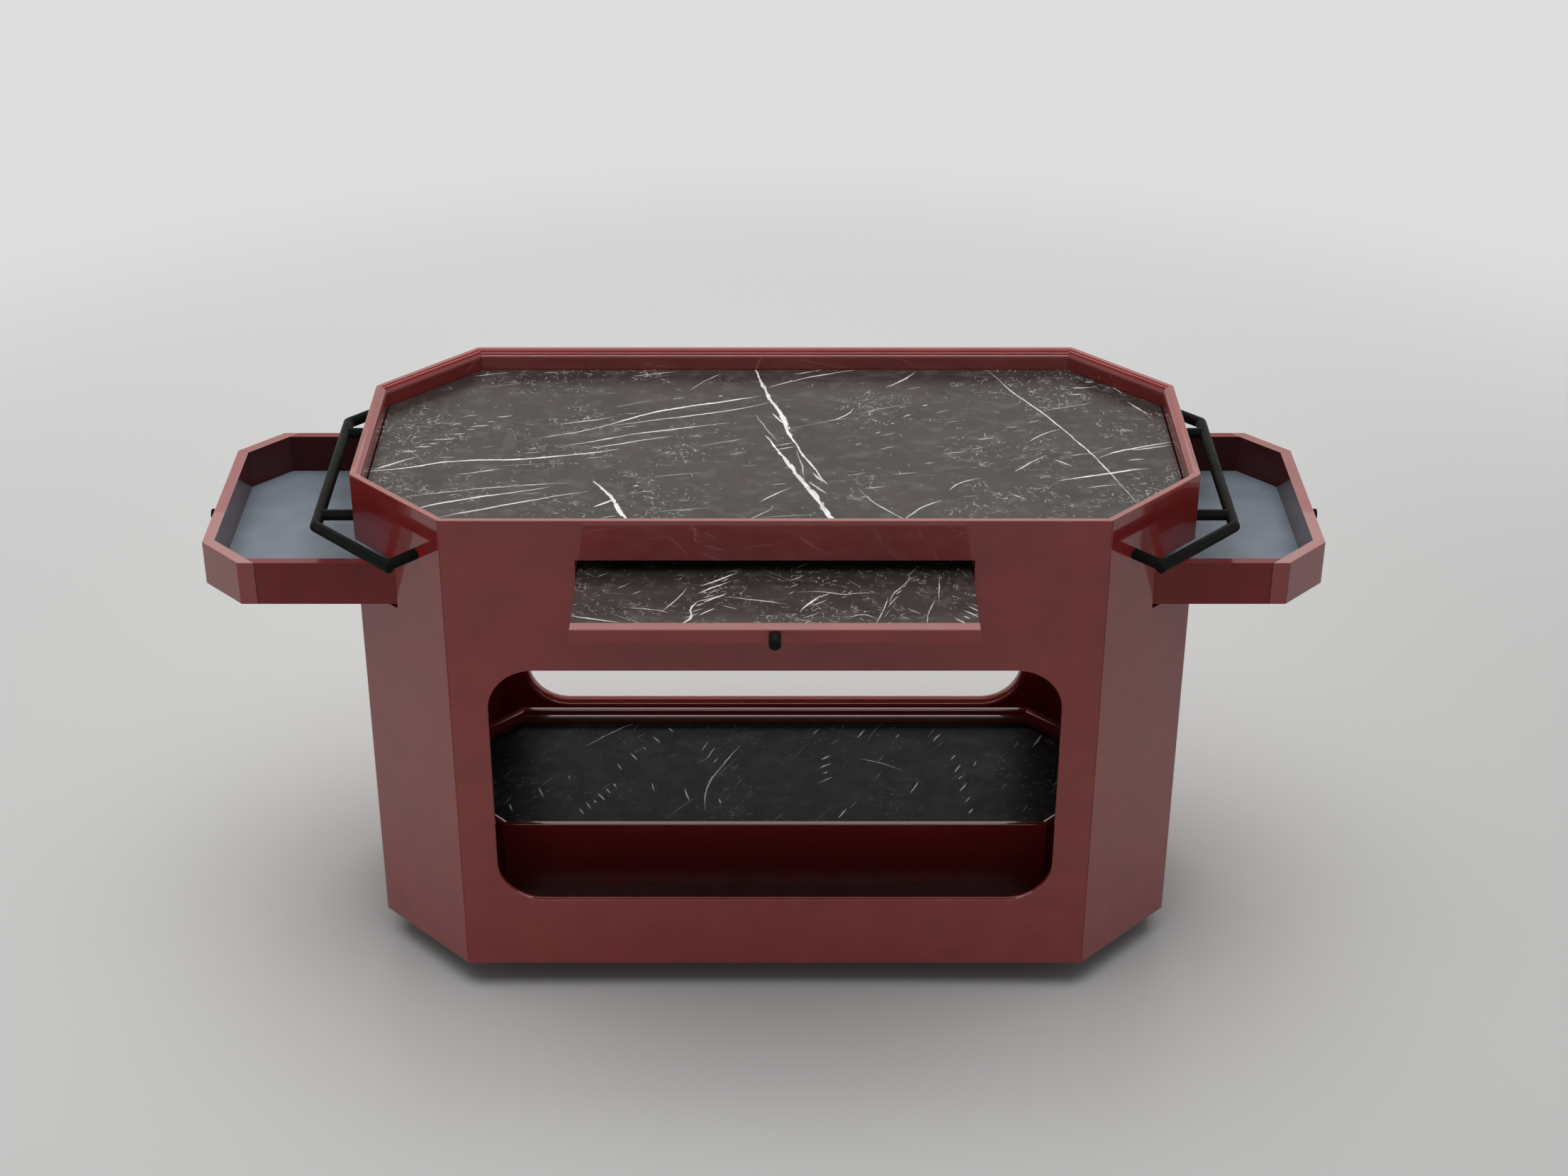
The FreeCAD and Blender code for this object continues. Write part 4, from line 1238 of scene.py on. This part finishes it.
class PullOutShelf(PlainUnit):
    """Serving shelf in the front, with its stone inlay."""

    finishes = {
        "shelf_lip": LACQUER, "shelf_board": PAINTED_SHADE_LACQUER, "shelf_marble": SHELF_STONE,
        "shelf_knob": POWDER_COAT, "shelf_shoes": NYLON,
    }


@dataclass
class EndDrawer:
    """Drawer in one end of the cart."""

    side: Side

    @property
    def name(self) -> str:
        """Name of the drawer as the nodes use it."""
        return f"{self.side.word}_drawer"

    def sizes(self) -> dict[str, float]:
        """Sizes that the drawer's finish follows.

        Returns:
            How far it stands out at rest, its face when it is shut, half of its front board's length, the
            board's thickness and half of the inside's width.
        """
        low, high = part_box(f"{self.name}_front")
        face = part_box("right_end_upper_panel")[1].x
        return {
            "drawn": max(-low.x, high.x) - face,
            "face": face,
            "front_half": high.y,
            "board": high.x - low.x,
            "inner_half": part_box(f"{self.name}_floor")[1].y,
        }

    def finish(self) -> None:
        """Dress the drawer's nodes."""
        name = self.name
        common = {"side": self.side.value, **self.sizes()}
        gloss = DrawerLacquer(f"{name}_lacquer", LACQUER.colour, coat=0.92, **common)
        satin = DrawerLacquer(f"{name}_satin_lacquer", SATIN_RED, roughness=0.3, specular=0.15,
                              coat=0.16, **common)
        finishes = {
            "front": gloss, "corner_boards": gloss, "sides": satin, "back": satin,
            "floor": PAINTED_SHADE_LACQUER, "liner": LINING, "knob": POWDER_COAT, "shoes": NYLON,
        }
        for part, finish in finishes.items():
            dress(f"{name}_{part}", finish)


@dataclass
class PushHandle:
    """Black tube handle round one end: a bent bar with blunt ends on four straight feet."""

    side: Side
    tube_radius: float = 8.75 * MILLIMETRE
    foot_radius: float = 8.5 * MILLIMETRE
    offset: float = 53 * MILLIMETRE
    slanted_bar: float = 172 * MILLIMETRE
    standoff_spacing: float = 279 * MILLIMETRE
    bend_round: float = 3.2 * MILLIMETRE
    bend_steps: int = 5
    end_round: float = 1.0 * MILLIMETRE
    end_steps: int = 3
    sides: int = 40
    sharp_angle: float = 38.0

    def places(self) -> dict[str, Vector]:
        """Places on the handle's middle line, in the quarter where X and Y are positive.

        Returns:
            The places by name.
        """
        end_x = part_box("right_end_upper_panel")[1].x
        half_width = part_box("back_panel")[1].y
        corner_cut = end_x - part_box("front_panel")[1].x
        low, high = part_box(f"{self.side.word}_handle")
        level = (low.z + high.z) / 2
        slant = Vector((-1.0, 1.0, 0.0)).normalized()
        outward = Vector((1.0, 1.0, 0.0)).normalized()
        bend_y = half_width - corner_cut + self.offset * math.tan(HALF_CORNER)
        bend = Vector((end_x + self.offset, bend_y, level))
        elbow = bend + slant * self.slanted_bar
        standoff = Vector((end_x + self.offset, self.standoff_spacing / 2, level))
        return {
            "bend": bend, "elbow": elbow, "end": elbow + slant * self.tube_radius,
            "corner_foot": elbow - outward * self.offset,
            "standoff": standoff, "standoff_foot": standoff - Vector((self.offset, 0.0, 0.0)),
        }

    def quarters(self) -> list[dict[str, Vector]]:
        """The places at the front and at the back of this end."""
        return [{name: Vector((self.side.value * point.x, sign * point.y, point.z))
                 for name, point in self.places().items()} for sign in (-1, 1)]

    def ring(self, mesh: Mesh, centre: Vector, direction: Vector, radius: float) -> Edges:
        """Circle of edges square to a direction.

        Args:
            mesh: shape that gets the circle.
            centre: its middle.
            direction: its axis.
            radius: its radius.

        Returns:
            Edges of the circle.
        """
        turn = direction.to_track_quat("Z", "Y").to_matrix().to_4x4()
        made = bmesh.ops.create_circle(mesh, segments=self.sides, radius=radius,
                                       matrix=Matrix.Translation(centre) @ turn)
        return list({edge for vertex in made["verts"] for edge in vertex.link_edges})

    def drawn_out(self, mesh: Mesh, edges: Edges, direction: Vector, stop: Vector, plane: Vector) -> Edges:
        """Extrude a circle along a direction up to a plane.

        Args:
            mesh: shape that is extended.
            edges: circle that the tube grows from.
            direction: way that it grows.
            stop: point on the plane.
            plane: normal of the plane.

        Returns:
            Edges of the new end.
        """
        grown = bmesh.ops.extrude_edge_only(mesh, edges=edges)["geom"]
        for vertex in (item for item in grown if isinstance(item, bmesh.types.BMVert)):
            vertex.co += direction * ((stop - vertex.co).dot(plane) / direction.dot(plane))
        return [item for item in grown if isinstance(item, bmesh.types.BMEdge)
                and all(vertex in grown for vertex in item.verts) and len(item.link_faces) == 1]

    def rounded(self, mesh: Mesh, edges: Edges, radius: float, steps: int) -> None:
        """Round a set of edges."""
        bmesh.ops.bevel(mesh, geom=edges, offset=radius, offset_type="OFFSET", segments=steps,
                        profile=0.5, affect="EDGES", material=-1)

    def bar(self, mesh: Mesh) -> None:
        """Add the bent bar with its blunt ends.

        Args:
            mesh: shape that gets the bar.
        """
        front, back = self.quarters()
        path = [front["end"], front["bend"], back["bend"], back["end"]]
        legs = [(end - start).normalized() for start, end in zip(path, path[1:])]
        blunt = self.ring(mesh, path[0], legs[0], self.tube_radius)
        loop = blunt
        bends = []
        for index, leg in enumerate(legs):
            after = legs[min(index + 1, len(legs) - 1)]
            loop = self.drawn_out(mesh, loop, leg, path[index + 1], (leg + after).normalized())
            bends.append(loop)
        ends = blunt + bends.pop()
        bmesh.ops.holes_fill(mesh, edges=ends, sides=0)
        self.rounded(mesh, ends, self.end_round, self.end_steps)
        corners = [edge for bend in bends for edge in bend]
        self.rounded(mesh, corners, self.bend_round, self.bend_steps)

    def feet(self, mesh: Mesh) -> None:
        """Add the four straight rods between the panels and the bar.

        Args:
            mesh: shape that gets the rods.
        """
        for places in self.quarters():
            for foot, top in (("corner_foot", "elbow"), ("standoff_foot", "standoff")):
                direction = (places[top] - places[foot]).normalized()
                start = self.ring(mesh, places[foot], direction, self.foot_radius)
                end = self.drawn_out(mesh, start, direction, places[top], direction)
                bmesh.ops.holes_fill(mesh, edges=start + end, sides=0)

    def build(self) -> None:
        """Model the handle in place of its plain node."""
        mesh = bmesh.new()
        self.bar(mesh)
        self.feet(mesh)
        shade_by_angle(mesh, self.sharp_angle)
        name = f"{self.side.word}_push_handle"
        piece = finished_piece(name, mesh, POWDER_COAT, "carcass")
        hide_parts(f"{self.side.word}_handle")


@dataclass
class SwivelCaster:
    """Swivel caster with a rubber tyre on a ribbed core."""

    corner: str
    tyre_depth: float = 8.0 * MILLIMETRE
    shoulder: float = 3.0 * MILLIMETRE
    shoulder_steps: int = 4
    tread_grooves: tuple[float, ...] = (-0.2, 0.2)
    groove: float = 0.9 * MILLIMETRE
    web_half: float = 4.0 * MILLIMETRE
    core_rim: float = 3.0 * MILLIMETRE
    hub_radius: float = 13.0 * MILLIMETRE
    bore_radius: float = 4.3 * MILLIMETRE
    rib_count: int = 8
    rib_width: float = 2.2 * MILLIMETRE
    steps: int = 72
    sharp_angle: float = 32.0

    def spun(self, profile: list[PlanPoint], centre: Vector) -> Mesh:
        """Turn a closed profile about the axle.

        Args:
            profile: radius and place along the axle of each corner.
            centre: middle of the wheel.

        Returns:
            The turned shape.
        """
        mesh = bmesh.new()
        corners = [mesh.verts.new((radius, along, 0.0)) for radius, along in profile]
        rim = [mesh.edges.new((corners[index - 1], corners[index])) for index in range(len(corners))]
        bmesh.ops.spin(mesh, geom=corners + rim, cent=(0.0, 0.0, 0.0), axis=(0.0, 1.0, 0.0),
                       dvec=(0.0, 0.0, 0.0), angle=2 * math.pi, steps=self.steps, use_merge=True)
        bmesh.ops.remove_doubles(mesh, verts=mesh.verts, dist=MILLIMETRE / 1000)
        bmesh.ops.translate(mesh, verts=mesh.verts, vec=centre)
        return mesh

    def mirrored(self, profile: list[PlanPoint]) -> list[PlanPoint]:
        """Profile on the other side of the wheel's middle, run backwards."""
        return [(across, -along) for across, along in reversed(profile)]

    def tyre_profile(self, radius: float, half: float) -> list[PlanPoint]:
        """Outline of the tyre with two fine tread grooves.

        Args:
            radius: outer radius.
            half: half of the width.

        Returns:
            Corners as radius and place along the axle.
        """
        inner = radius - self.tyre_depth
        wall = [(inner, -half + self.shoulder / 2), (inner + self.shoulder, -half)]
        for step in range(self.shoulder_steps + 1):
            turn = math.pi / 2 * step / self.shoulder_steps
            across = radius - self.shoulder * (1 - math.sin(turn))
            wall.append((across, -half + self.shoulder * (1 - math.cos(turn))))
        tread = []
        for share in self.tread_grooves:
            middle = share * 2 * half
            bottom = (radius - self.groove, middle)
            tread += [(radius, middle - self.groove), bottom, (radius, middle + self.groove)]
        return wall + tread + self.mirrored(wall)

    def core_profile(self, radius: float, half: float) -> list[PlanPoint]:
        """Outline of the core: rim, thin web and hub.

        Args:
            radius: outer radius of the core.
            half: half of the wheel's width.

        Returns:
            Corners as radius and place along the axle.
        """
        rim = self.core_rim
        upper = [
            (self.bore_radius, half), (self.hub_radius - rim / 2, half), (self.hub_radius, half - rim / 2),
            (self.hub_radius, self.web_half), (radius - rim, self.web_half),
            (radius - rim, half - self.shoulder), (radius, half - self.shoulder),
        ]
        return upper + self.mirrored(upper)

    def ribs(self, mesh: Mesh, centre: Vector, outer: float, half: float) -> None:
        """Add straight ribs between the hub and the core's rim.

        Args:
            mesh: shape that gets the ribs.
            centre: middle of the wheel.
            outer: radius that the ribs reach.
            half: half of the wheel's width.
        """
        length = outer - self.hub_radius
        shift = Matrix.Translation((self.hub_radius + length / 2, 0.0, 0.0))
        size = Matrix.Diagonal((length, 2 * (half - self.shoulder - MILLIMETRE), self.rib_width, 1.0))
        for index in range(self.rib_count):
            turn = Matrix.Rotation(2 * math.pi * index / self.rib_count, 4, "Y")
            matrix = Matrix.Translation(centre) @ turn @ shift @ size
            bmesh.ops.create_cube(mesh, size=1.0, matrix=matrix)

    def build(self) -> None:
        """Model the wheel in place of its plain node and dress the rest."""
        node = f"{self.corner}_caster_wheel"
        low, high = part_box(node)
        centre = (low + high) / 2
        radius = (high.z - low.z) / 2
        half = (high.y - low.y) / 2
        body = f"{self.corner}_wheel"
        tyre = self.spun(self.tyre_profile(radius, half), centre)
        shade_by_angle(tyre, self.sharp_angle)
        piece = finished_piece(f"{self.corner}_caster_tyre", tyre, RUBBER, body)
        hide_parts(node)
        core_radius = radius - self.tyre_depth
        core = self.spun(self.core_profile(core_radius, half), centre)
        self.ribs(core, centre, core_radius - MILLIMETRE, half)
        shade_by_angle(core, self.sharp_angle)
        finished_piece(f"{self.corner}_caster_core", core, WHEEL_CORE, body)
        dress(f"{self.corner}_caster_fork", FORK_STEEL)
        dress(f"{self.corner}_caster_axle", ZINC_STEEL)


@dataclass(frozen=True)
class Softbox:
    """Rectangular studio lamp aimed at a point."""

    name: str
    place: Triple
    width: float
    depth: float
    power: float
    aim: Triple = (0.0, 0.3, 0.85)
    reach: Reach = Reach.REFLECTIONS
    spread: float = 180.0
    colour: Triple = WHITE

    def hang(self) -> None:
        """Add the lamp to the scene."""
        data = bpy.data.lights.new(self.name, "AREA")
        data.shape = "RECTANGLE"
        data.size = self.width
        data.size_y = self.depth
        data.energy = self.power
        data.color = self.colour
        data.spread = math.radians(self.spread)
        lamp = linked_object(self.name, data)
        lamp.location = self.place
        lamp.rotation_euler = (Vector(self.aim) - Vector(self.place)).to_track_quat("-Z", "Y").to_euler()
        lamp.visible_camera = False
        lamp.visible_diffuse = self.reach is Reach.SURFACES
        lamp.visible_glossy = self.reach is Reach.REFLECTIONS


@dataclass
class Studio:
    """Pale floor, soft lamps, pale surroundings and the camera."""

    floor_size: float = 40.0
    floor_near: float = 1.2
    floor_far: float = 3.6
    floor_roughness: float = 0.85
    floor_colour: Triple = (0.63, 0.63, 0.62)
    sky_colour: Triple = (0.96, 0.98, 1.0)
    sky_strength: float = 0.2
    backdrop_colour: Triple = (0.73, 0.73, 0.725)
    mirrored_walls: float = 0.95
    mirrored_ceiling: float = 0.05
    walls_fade: Range = (0.5, 0.75)
    camera_place: Triple = (0.0, -3.6336, 2.6372)
    camera_tilt: float = 60.32
    camera_lens: float = 60.09
    camera_shift: float = 0.0058
    sensor_width: float = 36.0
    lamps: tuple[Softbox, ...] = (
        Softbox("ceiling_light", (-0.5, -0.3, 4.4), width=6.0, depth=5.0, power=70.0, aim=(-0.5, -0.3, 0.0),
                reach=Reach.SURFACES, spread=90.0),
        Softbox("back_fill_light", (0.0, 2.6, 1.75), width=3.0, depth=1.2, power=28.0, aim=(0.0, 0.0, 0.3),
                reach=Reach.SURFACES),
        Softbox("low_front_light", (-1.2, -3.2, 0.3), width=2.0, depth=0.5, power=0.6,
                aim=(-0.3, -0.3, 0.5), reach=Reach.SURFACES, spread=70.0),
        Softbox("front_softbox", (0.0, -5.75, 3.4), width=4.0, depth=1.0, power=60.0),
        Softbox("front_strip", (0.0, -1.5, 4.45), width=5.0, depth=0.6, power=40.0),
        Softbox("back_strip", (0.0, 1.95, 4.5), width=5.0, depth=0.6, power=26.0),
        Softbox("back_softbox", (0.0, 6.5, 5.4), width=9.0, depth=2.1, power=40.0, colour=WARM_WHITE),
    )

    def floor_material(self) -> bpy.types.Material:
        """Pale matt floor that turns into the backdrop some way from the cart.

        Returns:
            The floor's material.
        """
        material = bpy.data.materials.new("pale_floor")
        sheet = NodeSheet.cleared(material)
        matt = {"Base Color": self.floor_colour, "Roughness": self.floor_roughness}
        near = sheet.add("ShaderNodeBsdfPrincipled", matt)
        far = sheet.add("ShaderNodeEmission", {"Color": self.backdrop_colour, "Strength": 1.0})
        distance = sheet.add("ShaderNodeVectorMath", {0: sheet.place()}, operation="LENGTH").outputs["Value"]
        path = sheet.add("ShaderNodeLightPath").outputs
        mirrored = sheet.math("MAXIMUM", path["Is Glossy Ray"], path["Is Transmission Ray"])
        seen = sheet.math("MAXIMUM", path["Is Camera Ray"], mirrored)
        share = sheet.math("MULTIPLY", sheet.remap(distance, self.floor_near, self.floor_far), seen)
        mixed = sheet.add("ShaderNodeMixShader", {0: share, 1: near.outputs[0], 2: far.outputs[0]})
        sheet.add("ShaderNodeOutputMaterial", {"Surface": mixed.outputs[0]})
        return material

    def floor(self) -> None:
        """Lay the floor that the cart stands on."""
        mesh = bmesh.new()
        bmesh.ops.create_grid(mesh, x_segments=1, y_segments=1, size=self.floor_size / 2)
        floor = mesh_object("studio_floor", mesh, self.floor_material())

    def surroundings(self) -> None:
        """Light the scene from all round, with a pale backdrop for the eye and for reflections."""
        world = bpy.data.worlds.new("studio_surroundings")
        sheet = NodeSheet.cleared(world)
        light = sheet.add("ShaderNodeBackground", {"Color": self.sky_colour, "Strength": self.sky_strength})
        seen = sheet.add("ShaderNodeBackground", {"Color": self.backdrop_colour, "Strength": 1.0})
        direction = sheet.add("ShaderNodeTexCoord").outputs["Generated"]
        height = sheet.add("ShaderNodeSeparateXYZ", {"Vector": direction}).outputs["Z"]
        glow = sheet.remap(height, *self.walls_fade, self.mirrored_walls, self.mirrored_ceiling)
        room = sheet.add("ShaderNodeBackground", {"Color": WARM_WHITE, "Strength": glow})
        path = sheet.add("ShaderNodeLightPath").outputs
        choice = {0: path["Is Glossy Ray"], 1: light.outputs[0], 2: room.outputs[0]}
        mirrored = sheet.add("ShaderNodeMixShader", choice)
        shown = sheet.math("MAXIMUM", path["Is Camera Ray"], path["Is Transmission Ray"])
        mixed = sheet.add("ShaderNodeMixShader", {0: shown, 1: mirrored.outputs[0], 2: seen.outputs[0]})
        sheet.add("ShaderNodeOutputWorld", {"Surface": mixed.outputs[0]})
        bpy.context.scene.world = world

    def camera(self) -> None:
        """Stand the camera above the front of the cart."""
        data = bpy.data.cameras.new("front_camera")
        data.lens = self.camera_lens
        data.sensor_width = self.sensor_width
        data.shift_x = self.camera_shift
        camera = linked_object("front_camera", data)
        camera.location = self.camera_place
        camera.rotation_euler = (math.radians(self.camera_tilt), 0.0, 0.0)
        bpy.context.scene.camera = camera

    def build(self) -> None:
        """Set up everything round the cart."""
        self.floor()
        self.surroundings()
        for lamp in self.lamps:
            lamp.hang()
        self.camera()
        bpy.context.scene.view_settings.view_transform = "Standard"


def main() -> None:
    """Dress the cart, model its finer pieces and set up the studio."""
    logging.basicConfig(level=logging.INFO)
    carcass = Carcass()
    carcass.finish()
    LowerTray().finish()
    PullOutShelf().finish()
    for side in Side:
        EndDrawer(side).finish()
        PushHandle(side).build()
    for corner in carcass.corners:
        SwivelCaster(corner).build()
    dress("caster_plates", FORK_STEEL)
    for screws in ("handle_screws", "caster_screws"):
        dress(screws, ZINC_STEEL)
    Studio().build()


if __name__ == "__main__":
    main()
